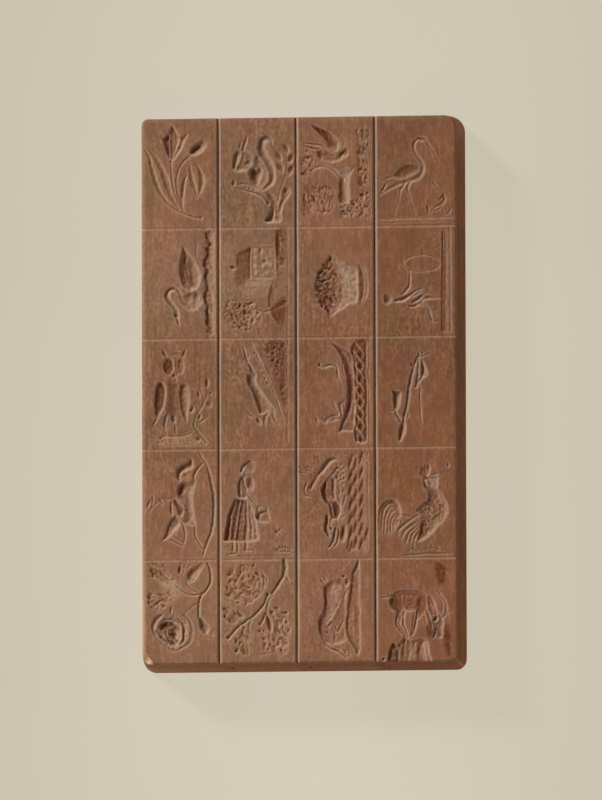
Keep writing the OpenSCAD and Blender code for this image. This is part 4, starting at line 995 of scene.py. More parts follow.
def browsing_animal(r):
    r.cut([(28.4, 44), (35.4, 36.6), (41, 28.6), (46.6, 22), (53, 20.4), (61.4, 22)],
          (5, 8.4, 9.6, 9.6, 7, 2), (1.1, 1.5, 1.6, 1.5, 1.2, 0.4))
    for stroke in (
        [(5, 30.5), (8, 34), (11, 37)], [(13, 33), (18, 31.4), (24, 35)],
        [(14, 37), (18, 35.4), (22.4, 38)], [(7, 41), (10, 44), (13, 46.6)],
        [(5.6, 36.6), (10, 40), (15, 41)],
    ):
        r.cut(stroke, (1.4, 2.8, 1.4), 0.85, tone=-0.4)
    r.cut([(30, 45), (25.4, 52), (20.6, 61)], (4.6, 6.4, 5), (0.9, 1.0, 0.9))
    r.cut([(24.4, 48.5), (22, 55), (21.4, 59.5)], (1.4, 2.4, 1.4), 0.6, add=True)
    r.cut([(17, 51), (14, 57.6), (12.4, 63), (14.4, 69.6), (22.4, 72.6)], (1.6, 3, 3, 3, 1.8),
          (0.8, 1.2, 1.2, 1.2, 0.7))
    r.cut([(18.6, 56.6), (18, 63.4)], (2.2, 1.8), 1.0)
    r.cut([(43.6, 48.4), (49, 43.4), (54, 37), (57, 31.6)], (3, 4, 3.6, 2), 1.0)
    r.fill([(43.6, 46), (38, 54), (34.2, 64), (36.4, 74), (40, 80.6), (46, 84), (52, 82), (54.6, 74),
            (54, 62), (53.4, 50), (50, 46)], 0.8, 4)
    r.fill([(41.4, 48.6), (37, 56), (34.4, 64), (36.4, 74), (40, 80), (45.4, 83.4), (44.4, 74),
            (42.8, 64), (43.4, 55)], 1.8, 4)
    r.tint([(41, 50), (43.4, 56), (43, 66), (45, 82), (38, 78), (34.6, 64), (37, 55)], -1.4, soft=2)
    r.fill([(50.4, 48), (48.4, 56), (48.4, 66), (50, 75), (54.2, 76), (53.8, 64), (53.8, 54), (53, 47)],
           1.6, 3)
    r.tint([(50, 49), (53.4, 50), (53.8, 66), (53.6, 75), (50, 74), (48.6, 60)], -0.7, soft=2)
    r.tint([(57, 30), (68, 32), (70, 60), (68, 100), (60, 110), (58, 70)], 0.3, soft=4)
    r.pits([(45.4, 58), (44.4, 65.4), (46, 74)], (1.2, 1.8), 0.5, add=True)
    r.cut([(43.6, 80), (47.6, 86.4), (48.6, 94.4), (51, 101.6)], (4.4, 4.8, 5, 4.4), 1.5)
    r.fill([(49.6, 79), (55, 78.4), (60.4, 83.6), (62.4, 91), (60.4, 98.4), (56, 103.6), (51.6, 101),
            (50, 91)], 1.4, 5)
    r.pits([(55, 89.6), (56.4, 96)], (1.5, 2.2), 0.5, add=True)
    r.cut([(53, 74), (55.4, 79.6), (61, 84)], (2, 2.6, 1.6), 0.7)
    r.cut([(42.6, 98.6), (42, 108), (41, 118), (44.6, 127)], (5.4, 6.8, 6.8, 4), (1.5, 1.8, 1.8, 1.2),
          tone=-0.7)
    r.cut([(49.5, 100), (47.6, 107), (47, 114)], (3, 5, 2), 0.8)
    r.bowl((48.6, 116.6), (2.2, 3), 1.3)
    r.cut([(55.4, 102), (57, 109), (55, 116)], (2, 3, 2), 0.5)
    r.cut([(54.4, 116), (52.6, 127), (49.6, 136), (46, 141.4)], (4.6, 5.4, 5, 4), (1.2, 1.5, 1.4, 1.6))
    r.cut([(58.4, 114.6), (58.8, 127), (55.4, 137.6), (50, 144)], (2.4, 3.2, 2.8, 2),
          (1.0, 1.2, 1.0, 0.7))
    r.bowl((65, 123.4), (4.8, 14), 1.6, turn=8, deep=(-0.2, 0))
    r.tint(oval((64, 123), (3.6, 11)), -0.5)
    r.pits([(56, 33.6), (59.2, 33.4), (62.6, 36), (58, 40), (62.2, 44), (65.4, 41), (56.6, 46),
            (66.4, 48), (60, 52), (62.6, 49), (65, 55), (62, 29), (66, 33.6)], (1.5, 2.3), 0.9)
    for stroke in (
        [(58.4, 59), (60.8, 64), (58.4, 70.6)], [(68.4, 71), (66.6, 77), (64.8, 84)],
        [(59.4, 74), (60, 80)], [(67, 62), (65, 67)],
    ):
        r.cut(stroke, (1.6, 3, 1.4)[:len(stroke)], 1.0)
    r.pits([(64.4, 94), (67, 98.6), (63, 101), (62, 107)], (1.3, 2), 0.7)
    for dark, amount in (
        ([(42, 78), (48, 79), (56, 79), (62, 90), (60, 99), (54, 104), (49, 100), (46, 90)], -0.75),
        ([(41, 97), (46, 98), (47, 108), (46, 118), (45, 127), (40, 122), (39, 108)], -0.6),
        ([(51, 42), (57, 31), (63, 33), (60, 46), (54, 51)], -0.6),
        ([(14, 58), (20, 52), (27, 47), (25, 58), (20, 71), (13, 70)], -0.4),
        ([(50, 116), (60, 114), (60, 128), (54, 142), (46, 144), (50, 130)], -0.45),
    ):
        r.tint(dark, amount, soft=2.5)
    bank = [(72, 15), (84, 14.4), (97.6, 14), (98.4, 60), (98.8, 100), (98.4, 145), (85, 145), (70, 146),
            (72.4, 120), (73, 80), (72.6, 45)]
    r.fill(bank, 0.35, 3)
    r.tint(bank, 0.4)
    for first, step, count, middle, size in (
        (23, 19.6, 7, 75.4, 3.8), (28, 21.4, 6, 81.4, 4.2), (20, 19.4, 7, 89.4, 4.4),
        (124, 20, 1, 96.6, 3.4),
    ):
        for at in range(count):
            v = first + step * at
            r.cut([(middle + 2, v - 8), (middle + 0.4, v), (middle - 2.4, v + 8)],
                  (3.4, size * 1.8, 3.4), (0.7, 1.2, 0.8), tone=-1.5)
    r.cut([(76, 124), (73, 136), (70.4, 145)], (2, 4.6, 3), (0.8, 1.4, 1.2))
    r.cut([(98.8, 13), (99, 60), (99.2, 100), (99, 145.6)], 2.8, 0.65)
    r.cut([(67.6, 13.2), (82, 13.8), (98.6, 13)], 1.9, 0.5)
    r.cut([(87, 145.4), (93, 145.8), (98.6, 145.6)], 1.8, 0.45)
    r.cut([(91.6, 1), (90.6, 10), (88, 22)], (1, 1.8, 2.6), 0.7)


def rooster(r):
    body = [(67.6, 47), (66.8, 55), (69.6, 61), (74, 66), (74.2, 73), (70.4, 80), (63, 86), (57.4, 92),
            (60, 97), (64, 104), (62, 116), (60.4, 127), (61.4, 133), (70, 131.4), (78, 124.6),
            (86.4, 116), (95.6, 107), (101.4, 98), (102.4, 88), (99, 77), (92.6, 68), (86.4, 60.6),
            (80, 58), (73.6, 54)]
    r.fill(body, 1.2, 10, tilt=(-0.018, 0))
    r.leafy(body, 0.0, 0.2, 71, size=2.2, add=True)
    r.tint([(84, 62), (94, 70), (101, 86), (100, 98), (86, 112), (72, 126), (80, 108), (90, 96),
            (88, 78)], 0.5, soft=4)
    r.tint([(62, 104), (68, 108), (70, 118), (64, 130), (61, 124)], -0.6)
    comb = [(63.4, 37), (65.6, 31), (68.4, 33.4), (70.4, 28), (73, 31), (75.6, 27), (78, 33), (77, 40),
            (73, 45), (67.6, 48), (64, 43)]
    r.fill(comb, 0.95, 3)
    r.pits([(64.8, 35.6), (67.6, 32.6), (70.8, 30.2), (74.6, 29)], (1.4, 2.6), 1.0)
    r.rib([(72.6, 33), (74, 38), (71, 43)], 2.4, 0.5)
    r.bowl((71.4, 47), (4.8, 3.8), 1.4)
    r.bowl((74, 48), (1.6, 1.9), 0.5, add=True)
    r.cut([(78.6, 43), (84, 41.6), (90, 40.8)], (1.6, 3, 1), (0.7, 1.0, 0.4))
    r.fill([(73, 46), (80, 44.6), (87.4, 44.4), (89, 50), (88, 57), (86.4, 63), (80.4, 60), (74.4, 57)],
           0.9, 4, tilt=(-0.03, 0))
    r.rib([(78, 47), (82, 52), (80, 58)], 2.2, 0.4)
    r.tint([(72, 46), (80, 43), (90, 41), (90, 52), (86, 63), (78, 58)], 0.6)
    r.rib([(85, 46), (86, 53), (84, 60)], 1.8, 0.4)
    r.cut([(68.4, 48), (69, 55), (73, 62), (77, 70), (75.6, 78)], (3, 4.6, 5.6, 7.6, 3), 0.6, add=True,
          tone=-0.4)
    r.cut([(71, 80), (64, 86), (58.6, 92)], (4, 6.6, 3), 0.8, add=True)
    for stroke in (
        [(80, 64), (84, 72), (86, 82)], [(84.6, 63.6), (89.4, 74), (91.6, 85), (91, 97)],
        [(88, 64), (94.6, 76), (96.8, 88), (94.6, 101)], [(79, 70), (82, 78), (84.4, 88)],
        [(91, 66), (98, 79), (99.6, 90), (97, 99)], [(75, 80), (80, 80.4), (86, 85)],
        [(66, 88), (73, 83.4), (80, 84)],
    ):
        r.cut(stroke, (1, 2.2, 1.2), 0.5, add=True)
    r.pits([(66, 95.4), (71.6, 90), (76.4, 88.4), (80.4, 95), (77.6, 100), (70, 106), (73, 110.4),
            (81, 110), (75.6, 94.4), (84.6, 93), (67, 102), (81.6, 103), (76, 106), (86, 99)],
           (1.5, 2.2), 0.65, add=True)
    for feather in (
        [(66, 95.6), (56, 100.4), (45, 107.4), (38, 113), (34.2, 119), (33, 128)],
        [(62.6, 104.6), (52.4, 110.4), (45, 116), (40, 122), (37.6, 130)],
        [(63.4, 108), (55.4, 114), (48.4, 121.4), (45, 130), (43, 138)],
        [(64.4, 111.4), (57.4, 118), (51.6, 126), (50, 139)],
        [(66, 115.6), (59.4, 122.6), (56, 129), (54.8, 134)],
    ):
        r.cut(feather, (1.8, 4.2, 4.4, 4.4, 1.8), (0.4, 0.8, 0.85, 0.9, 0.4))
    tail = [(39, 96), (37, 86), (33, 79), (26, 74.6), (17, 76.6), (9.4, 85), (6.4, 96), (5.2, 113),
            (8, 122), (18, 129), (27, 122), (32, 113), (36, 105)]
    r.fill(tail, 0.7, 6, tilt=(0, -0.026))
    for feather in (
        [(36, 90), (31, 79.4), (25, 75.6), (16, 78.4), (9.6, 87), (7, 98), (5.8, 112)],
        [(36, 92), (30, 83), (24, 80), (17, 84), (12.6, 93), (10.6, 105), (9, 122)],
        [(36, 94), (30, 87), (24, 85), (19, 91), (16, 101), (14.6, 112), (13.4, 126)],
        [(36, 95), (31, 91), (26, 91), (22, 97), (19.6, 107), (19.4, 117), (18, 129)],
        [(37, 97), (32, 95), (27, 98), (24, 106), (23.6, 115), (23, 125)],
        [(37, 99), (33, 99), (29.6, 104), (27.6, 112), (27.6, 120)],
        [(38, 101), (35, 103), (32, 108), (31.6, 113)],
    ):
        r.cut(feather, (1.2, 2.4, 3.2, 3.6, 3.4, 3, 1.6), (0.2, 0.4, 0.65, 0.75, 0.75, 0.7, 0.4),
              add=True)
    r.cut([(38, 96), (46, 97), (54, 99.4)], (2, 5, 2), 0.5)
    r.cut([(33, 100), (37, 104), (38.6, 110)], (2, 4, 2), 0.5)
    for claw in (
        [(55.6, 130), (55, 136), (54.4, 142)], [(48, 146.4), (52, 143), (58.4, 143.6)],
        [(54, 141), (54.4, 148)], [(54, 142), (59.4, 147.4)], [(74.6, 130), (77.4, 136), (80.4, 141.4)],
        [(76, 143.6), (81, 141.4), (88.6, 143.4)],
    ):
        r.cut(claw, 2.4, 0.8)
    r.cut([(67, 115.6), (64, 122), (61, 131.6)], (3, 4.6, 3.4), 0.8, add=True)
    r.cut([(76, 116), (71, 123), (66, 131)], (2, 3.6, 2), 0.6, add=True)
    r.pits([(66, 146.6), (70, 145), (77.4, 146.6), (84, 146), (88, 144.4), (62, 144), (73, 143.4)],
           (1.4, 1.6), 0.6)
    r.cut([(36, 152.6), (60, 150.6), (85, 149.4), (106.4, 150)], (1.4, 3.4, 3.6, 2), 0.8)
    r.bowl((102, 29), (1.7, 4.4), 0.9)


def rose(r):
    r.cut([(31, 82), (23.4, 88), (19.4, 96), (19.8, 105), (23, 113), (29, 120.6), (36, 126), (45, 130.4),
           (53, 130.4), (61, 126.4), (68, 121), (71.4, 112), (71.2, 100), (68, 91), (61.4, 83)],
          (6, 8, 8, 6, 4, 4, 4, 4.4, 4.4, 5, 6, 7, 7, 7, 5),
          (1.0, 1.3, 1.4, 1.1, 0.7, 0.7, 0.6, 0.6, 0.6, 0.6, 0.7, 0.8, 0.8, 0.8, 0.6))
    r.leafy([(22, 88), (34, 80), (50, 80), (64, 84), (72, 98), (72, 114), (64, 126), (48, 133),
             (34, 128), (22, 116), (18, 102)], 0.05, 0.3, 57, size=4, add=True, stain_and_pit_shade=0.5)
    bloom = [(27, 94), (33, 87.4), (43, 86), (51, 88), (57, 93), (60.4, 102), (60, 113), (56, 122),
             (47, 127), (37, 124), (29, 117), (25, 107)]
    r.fill(bloom, 1.4, 7)
    r.tint([(27, 95), (38, 90), (50, 96), (52, 112), (44, 120), (34, 112)], -0.85, soft=4)
    r.leafy(bloom, 0.0, 0.4, 56, size=5, add=True)
    r.bowl((34, 98), (9, 5), 0.9, add=True)
    r.bowl((47, 109), (5, 10), 1.0, add=True)
    r.rib([(47, 93), (55, 97), (58.4, 106), (56.4, 117), (49, 124)], (3, 6, 7, 6, 3),
          (0.6, 1.3, 1.5, 1.3, 0.6))
    r.cut([(51, 87.4), (58.6, 94.4), (61.6, 105), (60.4, 117), (55, 124)], (2.4, 4.6, 5, 4.6, 2.4),
          (0.9, 1.5, 1.6, 1.5, 0.8), tone=-0.4)
    r.tint([(48, 94), (56, 98), (58, 108), (55, 118), (48, 122), (51, 108)], 0.5)
    r.tint([(62, 88), (70, 96), (72, 112), (66, 122), (63, 110), (64, 98)], 0.7)
    for petal in (
        [(27, 102), (31, 109), (37, 116)], [(38, 102), (39.4, 111), (44, 121)],
        [(33, 104), (35.6, 112), (40, 120)], [(28, 113), (34, 120), (42, 124)],
        [(30, 93), (38, 90.4), (47, 92)],
    ):
        r.rib(petal, (2, 4, 2), 0.9)
    r.pits([(29.4, 121.4), (46.6, 128.4), (38.6, 122.6)], (2, 2.6), 1.1)
    r.cut([(93.6, 12.6), (97.2, 22), (98, 33), (95.6, 43), (90, 51.6), (84, 58), (82, 66), (81, 78),
           (81.6, 88)], (3, 4, 4.2, 4.2, 4, 3.8, 3.8, 3.8, 4), 1.25)
    r.fill([(81.4, 86), (85.6, 87), (91, 93), (95.8, 99), (94.4, 106), (90, 110.4), (85, 105),
            (81.4, 97)], 1.9, 6, tilt=(-0.07, 0))
    r.cut([(87, 105), (92, 110.4), (101.4, 116.6)], (3.4, 3.4, 1), (1.2, 1.0, 0.4))
    r.cut([(90, 108), (95.6, 114.6)], 1.8, 0.6)
    r.cut([(64, 31.6), (66, 42), (71.6, 48.6), (80.6, 52.4)], (2.4, 2.8, 2.6, 2), 0.8)
    r.cut([(50.6, 43), (58, 49.6), (66, 54), (74, 55.6), (84, 54), (88.6, 51.6)],
          (1.6, 3, 3.2, 3, 3, 2.4), (0.5, 0.9, 1.0, 0.9, 0.9, 0.8))
    r.fill([(65, 31.4), (67, 24), (73, 18), (81, 13.6), (88.4, 10.6), (87.4, 19), (83, 27), (77, 34.4),
            (70, 39.4), (66, 36.6)], 1.2, 7, tilt=(-0.02, 0))
    r.cut([(72.4, 20.6), (68.4, 26), (66.8, 31.6)], (2, 4.4, 3), 0.8, add=True)
    r.rib([(70, 37), (77, 27), (86, 14)], 2.2, 0.55)
    r.tint([(70, 36), (72, 26), (80, 18), (88, 12), (84, 24), (76, 34)], 0.5)
    r.cut([(69, 36), (72, 34.6), (75, 35)], 1.6, 0.5, add=True)
    sprigs(r, [(60, 9), (86, 8), (84, 12), (70, 18), (62, 26), (58, 18)], 16, 51, length=6, width=2.2,
           depth=0.7, turn=100, spread=25)
    r.fill([(15, 18), (24, 19.6), (33, 24), (40, 32), (47.4, 40.4), (40, 41.4), (33, 38.6), (26, 34.6),
            (20, 27.6)], 0.9, 5)
    r.cut([(15.6, 19.4), (18.4, 25), (19.6, 31)], (2, 4.4, 2), 1.3)
    r.cut([(29, 21), (34, 27), (39.8, 33.4)], (1.6, 3.2, 1.6), 1.3)
    r.rib([(21, 22), (30, 30), (43, 39)], 2.4, 0.5)
    for tip in ((10, 30), (9, 22), (11, 15), (18, 11), (26, 10), (33, 12), (40, 17), (46, 24)):
        r.cut([tip, ((tip[0] + 38) / 2, (tip[1] + 33) / 2 - 1.5), (41, 36)], (1, 2.4, 0.8),
              (0.35, 0.6, 0.2), add=True)
    r.cut([(26, 34), (29, 38)], 2, 0.7)
    r.bowl((46.4, 34.4), (4.4, 2.2), 0.6)
    sprigs(r, [(10, 8), (30, 8), (36, 18), (22, 18), (12, 16)], 14, 52, length=6, width=2.4, depth=0.8,
           turn=100, spread=25)
    r.bowl((56, 22), (2.6, 6.4), 1.4, turn=10, deep=(-0.2, 0))
    r.bowl((57.6, 13.6), (1.3, 3.2), 0.8)
    r.cut([(58, 29), (61, 25), (63, 19)], (1.4, 2.6, 1.2), 0.6)
    leaf = [(11, 54), (20, 48.6), (34, 50), (46, 45), (53, 54), (47, 67), (37, 74), (26, 76.6),
            (14, 68)]
    r.leafy(leaf, 0.25, 0.3, 54, size=3.4, stretch=1.8)
    for dark in (
        [(12, 20), (18, 18), (22, 30), (16, 34)], [(54, 14), (59, 16), (60, 28), (55, 30)],
        [(10, 54), (18, 56), (20, 72), (13, 74)],
    ):
        r.tint(dark, -0.6, soft=2)
    r.tint([(24, 40), (40, 28), (54, 32), (64, 44), (62, 60), (48, 70), (28, 68), (28, 50)], 0.6,
           soft=12)
    r.leafy([(12, 12), (34, 10), (40, 26), (50, 36), (46, 44), (32, 42), (18, 32)], 0.1, 0.28, 55,
            size=2.6, stretch=2.2)
    sprigs(r, leaf, 16, 53, length=7, width=2, depth=0.5, turn=105, spread=30)
    r.pits([(14, 60), (25.4, 68.4), (33, 70), (13, 66)], (1.7, 3.6), 1.1)
    r.rib([(20, 64), (32, 59), (46, 51)], 2.4, 0.4)
    for tip in ((8, 50), (7, 58), (8, 66), (13, 74), (22, 79)):
        r.cut([tip, ((tip[0] + 36) / 2, (tip[1] + 58) / 2), (38, 56)], (1.2, 2.6, 0.8), (0.4, 0.55, 0.2),
              add=True)
    r.cut([(81, 66), (72, 72.6), (65, 78.6), (62, 82.6)], 2.2, 0.65)
    r.cut([(44.6, 70), (43.6, 77), (44, 82.6)], (1.4, 4, 1.6), 1.1)
    r.cut([(49, 80), (48, 85), (46.6, 88)], 2, 0.6)


def oak_branch(r):
    r.cut([(93, 8), (94, 18), (92.6, 28), (88, 37), (82, 46), (75.6, 53.4)], (8, 8, 7, 6, 5.6, 4.6),
          (1.8, 1.9, 1.7, 1.5, 1.4, 1.2))
    r.cut([(95.6, 25), (98, 33), (100.4, 38)], (4, 4.4, 2), 0.8)
    r.cut([(71.6, 53), (68, 63), (63, 72), (54, 81), (44, 89), (33, 97.4), (23, 106), (16.6, 115)],
          (4.6, 4.6, 4.8, 4.8, 4.6, 4.6, 4.6, 3.4), 1.25)
    r.bowl((17.2, 112.6), (2.8, 3.8), 1.4, turn=30)
    r.bowl((70.6, 54.4), (2.6, 4.4), 1.5)
    r.cut([(80, 54.4), (74, 60), (71.6, 68), (70, 76)], (2, 3.6, 3.6, 2.4), 0.8)
    r.fill([(70, 82), (73.4, 86), (77, 94), (77.6, 101), (74.6, 107), (70.8, 99.6), (69, 91)], 1.9, 4,
           tilt=(-0.04, 0))
    r.cut([(70, 72), (69.6, 79), (70.6, 85)], 3, 1.1)
    r.cut([(68.8, 79), (64.6, 88), (60.4, 97)], (2.6, 4.6, 3.6), 1.1)
    big = [(16, 24), (22, 18), (27.6, 20), (34, 13.6), (46, 12), (54, 13.6), (62, 20), (69.6, 27),
           (71.4, 36), (70, 46), (62, 56), (55, 62), (46, 66.4), (36, 66), (26, 62), (18, 58.4),
           (12.6, 50), (12.8, 43), (18, 37)]
    r.leafy(big, 0.4, 0.26, 61, size=7, shoulder=3, stain_and_pit_shade=0.5)
    r.leafy(big, 0.0, 0.14, 161, size=2.6, add=True, stain_and_pit_shade=0.3)
    for lobe in (
        [(29, 20), (31, 31), (26, 41), (34, 47)], [(40, 18), (37, 29), (42, 37)],
        [(56, 17), (59, 29), (61, 42), (58, 52)], [(51, 27), (55, 38), (52, 47)],
        [(21, 44), (29, 54), (40, 60), (47, 61)], [(41, 49), (49, 53), (57, 50)],
        [(63, 24), (66, 34), (65, 46)],
    ):
        r.cut(lobe, (1.2, 3, 3, 1.2)[:len(lobe)], 0.5, add=True, tone=-0.25)
    darks = (
        ((18.4, 26), (3, 5)), ((20.6, 37), (2.4, 4.4)), ((14.4, 46), (2, 4)), ((16, 54), (2, 4)),
        ((37, 15.6), (2.2, 3)), ((51, 14.6), (2, 2.6)), ((46.4, 28.6), (2, 3)), ((27, 47), (2, 2.6)),
        ((34.6, 50.6), (1.8, 4)), ((53, 54.6), (2, 3)), ((68.2, 34), (1.5, 4)), ((31, 65), (2, 2.6)),
        ((42, 68.2), (2.4, 2)), ((33, 24), (2.4, 5)), ((58, 26), (1.6, 4)), ((24, 22.6), (2.4, 2)),
        ((49, 63), (2, 2.6)),
    )
    for at, (place, size) in enumerate(darks):
        step = size[1] * np.array([np.cos(2.3 * at), np.sin(2.3 * at)])
        bend = place + 0.4 * np.array([-step[1], step[0]])
        r.cut([place - step, bend, place + step], (1.4, 1.8 * size[0], 1.4), (0.5, 1.1, 0.5), add=True,
              tone=-0.7)
    r.fill([(38.6, 39.4), (44, 42.4), (51, 43.6), (46, 46.6), (41.6, 44.6)], 1.8, 2.4)
    left = [(11, 72), (20, 71), (25, 74), (30, 77), (39, 80.6), (37.4, 87), (30, 91.4), (22, 95),
            (15, 91), (10.6, 84)]
    r.leafy(left, 0.4, 0.26, 63, size=7, shoulder=3, stain_and_pit_shade=0.5)
    r.leafy(left, 0.0, 0.14, 163, size=2.6, add=True, stain_and_pit_shade=0.3)
    r.tint(left, -0.15, soft=5)
    for place, size in (
        ((12, 74), (2, 3.4)), ((12.4, 84), (2.4, 3)), ((20, 91), (2, 4)), ((16, 78), (1.6, 3)),
    ):
        r.bowl(place, size, 1.2, turn=-25)
        r.tint(oval(place, size), -0.6, soft=2)
    r.fill([(30, 75.6), (34, 79), (38.8, 84.4), (34, 87), (31.4, 82)], 1.6, 3)
    r.rib([(20, 74), (24, 81), (27, 90)], 3, 0.5)
    right = [(73, 71.6), (80, 74), (86, 71), (92, 75.6), (98, 80), (98.4, 90), (103.4, 97), (102, 106),
             (102.6, 116), (99.4, 124), (98.6, 136), (90, 136.6), (86, 128), (80, 127), (77.4, 115),
             (80, 104), (79.4, 93), (75, 84)]
    r.leafy(right, 0.4, 0.28, 65, size=6, shoulder=3, stain_and_pit_shade=0.5)
    r.leafy(right, 0.0, 0.16, 165, size=2.6, add=True, stain_and_pit_shade=0.3)
    r.tint(right, 0.35, soft=6)
    for lobe in (
        [(82, 80), (88, 86), (84, 94)], [(94, 84), (90, 94), (94, 102)],
        [(84, 104), (90, 110), (86, 118)], [(96, 108), (92, 116), (95, 126)],
    ):
        r.cut(lobe, (1.2, 2.8, 1.2), 0.45, add=True, tone=-0.2)
    r.rib([(80, 78), (88, 92), (91, 112), (93, 132)], (2, 3.2, 2), 0.4)
    for place, size in (
        ((77, 80.4), (2.2, 4.6)), ((84, 72.8), (4, 1.6)), ((96.4, 79.4), (2.6, 2.2)),
        ((91.6, 79.6), (1.8, 2.4)), ((100, 104.6), (2, 2.6)), ((84.6, 98), (1.8, 4)),
        ((97, 93), (2, 2.6)), ((86, 121), (1.8, 3.4)), ((97.4, 122), (1.8, 3)),
    ):
        r.bowl(place, np.array(size) * 1.2, 0.8, deep=(-0.2, 0), add=True)
        r.tint(oval(place, size), -0.5, soft=3)
    low = [(57, 104), (66, 102), (74, 108), (77, 118), (84, 125), (84, 133), (70, 137.6), (56.6, 139),
           (59.6, 126), (61.6, 115)]
    r.leafy(low, 0.35, 0.24, 67, size=6, shoulder=3, stain_and_pit_shade=0.5)
    r.tint([(62, 112), (76, 116), (84, 128), (70, 138), (56, 139)], 0.15, soft=5)
    for place, size in (
        ((60.2, 96), (1.8, 3)), ((60, 105), (2, 2)), ((66, 115.6), (3.2, 3.8)), ((75, 123), (2, 2.6)),
        ((80.4, 127), (2.4, 3.8)), ((90, 131), (2, 3.4)), ((72, 129.6), (2, 1.8)),
        ((66, 104.6), (1.8, 2)),
    ):
        r.bowl(place, size, 1.3, turn=-20)
    r.rib([(64, 108), (70, 112), (72, 122), (68, 132)], (2, 4, 4, 2), 0.5)
    small = [(36, 99), (42, 98), (46, 104), (50.4, 112), (47.4, 122), (46.6, 138), (40, 139.6),
             (33, 132), (27.6, 133.6), (26.6, 124), (30, 113), (33, 106)]
    r.leafy(small, 0.35, 0.24, 69, size=6, shoulder=3, stain_and_pit_shade=0.5)
    r.tint([(28, 114), (36, 108), (37, 128), (29, 132)], -0.3)
    r.tint([(36, 108), (46, 108), (49, 120), (46, 138), (38, 138)], 0.12, soft=4)
    for place, size, turn in (
        ((28, 117.4), (1.8, 5.4), 12), ((28.4, 130), (2.4, 4.4), 14), ((37, 107), (1.7, 2.6), 20),
        ((33, 121), (1.4, 4), 10), ((39, 100), (1.6, 2.4), 0),
    ):
        r.bowl(place, size, 1.3, turn=turn)
    r.rib([(41, 108), (40, 122), (43, 136)], (2, 4, 3), 0.5)
    r.cut([(49, 88), (45.6, 98), (46.2, 106), (50.6, 113)], (2, 2.8, 2.6, 1.6), 0.75)


def running_animal(r):
    body = [(40, 42), (46, 38), (54, 36), (62, 32.6), (67, 38), (70.4, 50), (69.4, 62), (70.4, 76),
            (69, 92), (69.4, 108), (70.4, 117.6), (62, 122.4), (50, 125), (41, 122.4), (35, 114),
            (30.6, 103), (30.8, 91), (35.4, 80), (38.8, 70), (38.8, 55)]
    r.fill(body, 1.1, 6, tilt=(-0.026, 0))
    r.cut([(39.6, 44), (40.2, 56), (40.6, 68), (37, 78)], (3, 5, 5, 3), 0.9, add=True)
    r.tint([(38, 42), (42, 44), (42, 62), (41, 72), (36, 84), (34, 104), (40, 120), (34, 114), (30, 100),
            (31, 88), (37, 74)], -0.9, soft=2)
    r.tint([(46, 42), (60, 38), (66, 46), (60, 64), (52, 84), (40, 100), (38, 88), (46, 70)], 0.5,
           soft=5)
    r.cut([(34, 83), (31.8, 93), (32, 104), (35.6, 114.6)], (2.6, 4.2, 4.2, 2.6), 0.8, add=True)
    r.cut([(33.6, 34.4), (36, 37.6), (39.2, 41.6)], (1.4, 3.6, 2.6), 1.3)
    r.cut([(38.2, 30.6), (39.6, 34.2), (41.4, 38.4)], (1.4, 3.2, 1.8), 1.2)
    r.cut([(44, 40), (50, 37.6), (57, 35)], (1.6, 2.8, 1.6), 0.6, add=True)
    r.rib([(52, 44), (50, 52), (55, 57)], (2, 4, 2), 0.5)
    r.rib([(63, 60), (59, 72), (53, 84), (44, 96)], (2, 5, 6, 3), 0.5)
    r.bowl((65.2, 30.2), (2.8, 2.3), 1.5, turn=-20)
    r.bowl((69.6, 38.4), (2.7, 7), 1.2, turn=8, add=True)
    r.cut([(71, 26), (73.6, 34), (75, 46)], (1.2, 2.8, 1.6), 0.7)
    r.cut([(64, 60.4), (68, 54), (72.8, 47)], (1.6, 2.8, 1.8), 0.7, add=True)
    r.cut([(58, 42), (63, 40), (66, 46), (62, 54)], (1.2, 1.8, 1.8, 1.2), 0.35, add=True)
    ground = [(85.4, 10), (80, 22), (77.4, 30), (76, 44), (74.6, 56), (72.8, 70), (70.8, 85),
              (70.2, 105), (73, 116.4), (78, 124.4), (83.4, 137), (86.8, 132), (87, 100), (86.8, 60),
              (86.6, 30)]
    r.fill(ground, 0.85, 3)
    r.cut([(85, 11), (80.4, 22), (77.8, 30), (76.8, 42), (75.2, 56), (74, 66), (72.2, 78), (70.8, 90),
           (70.8, 105), (73.4, 116), (78.4, 124), (82, 131), (83.6, 136.6)],
          (3, 6, 6, 6, 6.4, 6.4, 6.4, 6.4, 6.4, 6.4, 5.4, 4.6, 2.4), 1.4, lean=-0.2, tone=-0.65)
    r.rib([(79.4, 60), (79, 84), (80, 108), (82, 122)], (1.6, 2.6, 2.6, 1.6), 0.45)
    r.cut([(42.6, 100.4), (46, 96), (49.8, 91.6)], (1.4, 2.6, 1.6), 0.8, add=True)
    r.cut([(54, 99), (57.4, 106), (61, 98.4), (66.6, 90.4)], (1.8, 2.8, 2.8, 1.8), 1.0, add=True)
    r.cut([(52.2, 108.6), (52.6, 114), (52.4, 119.6)], (1.6, 3.6, 2), 1.1, add=True)
    r.cut([(44, 102), (47, 107), (44, 112)], (1.2, 2, 1.2), 0.5, add=True)
    r.pits([(65, 112), (60, 115.4), (43, 107)], (1.6, 2.2), 0.7, add=True)
    r.cut([(35, 114.6), (39.6, 122.6), (48, 128.6), (57, 132), (63, 137), (68.4, 142)],
          (2.4, 3.6, 3.8, 5, 4.2, 2.2), (1.0, 1.3, 1.3, 1.5, 1.4, 0.9))
    r.cut([(44, 123.4), (56, 127), (64, 130.4), (68, 134)], (2, 4, 4, 3), 0.6)
    r.cut(oval((69.6, 135), (3.4, 4.2)), 2, 0.7)
    r.bowl((68, 134.6), (1.5, 1.8), 1.0)
    r.cut([(85, 6), (86.4, 30), (86.6, 80), (86.6, 131)], (1.6, 2.6, 2.6, 2), 0.9)


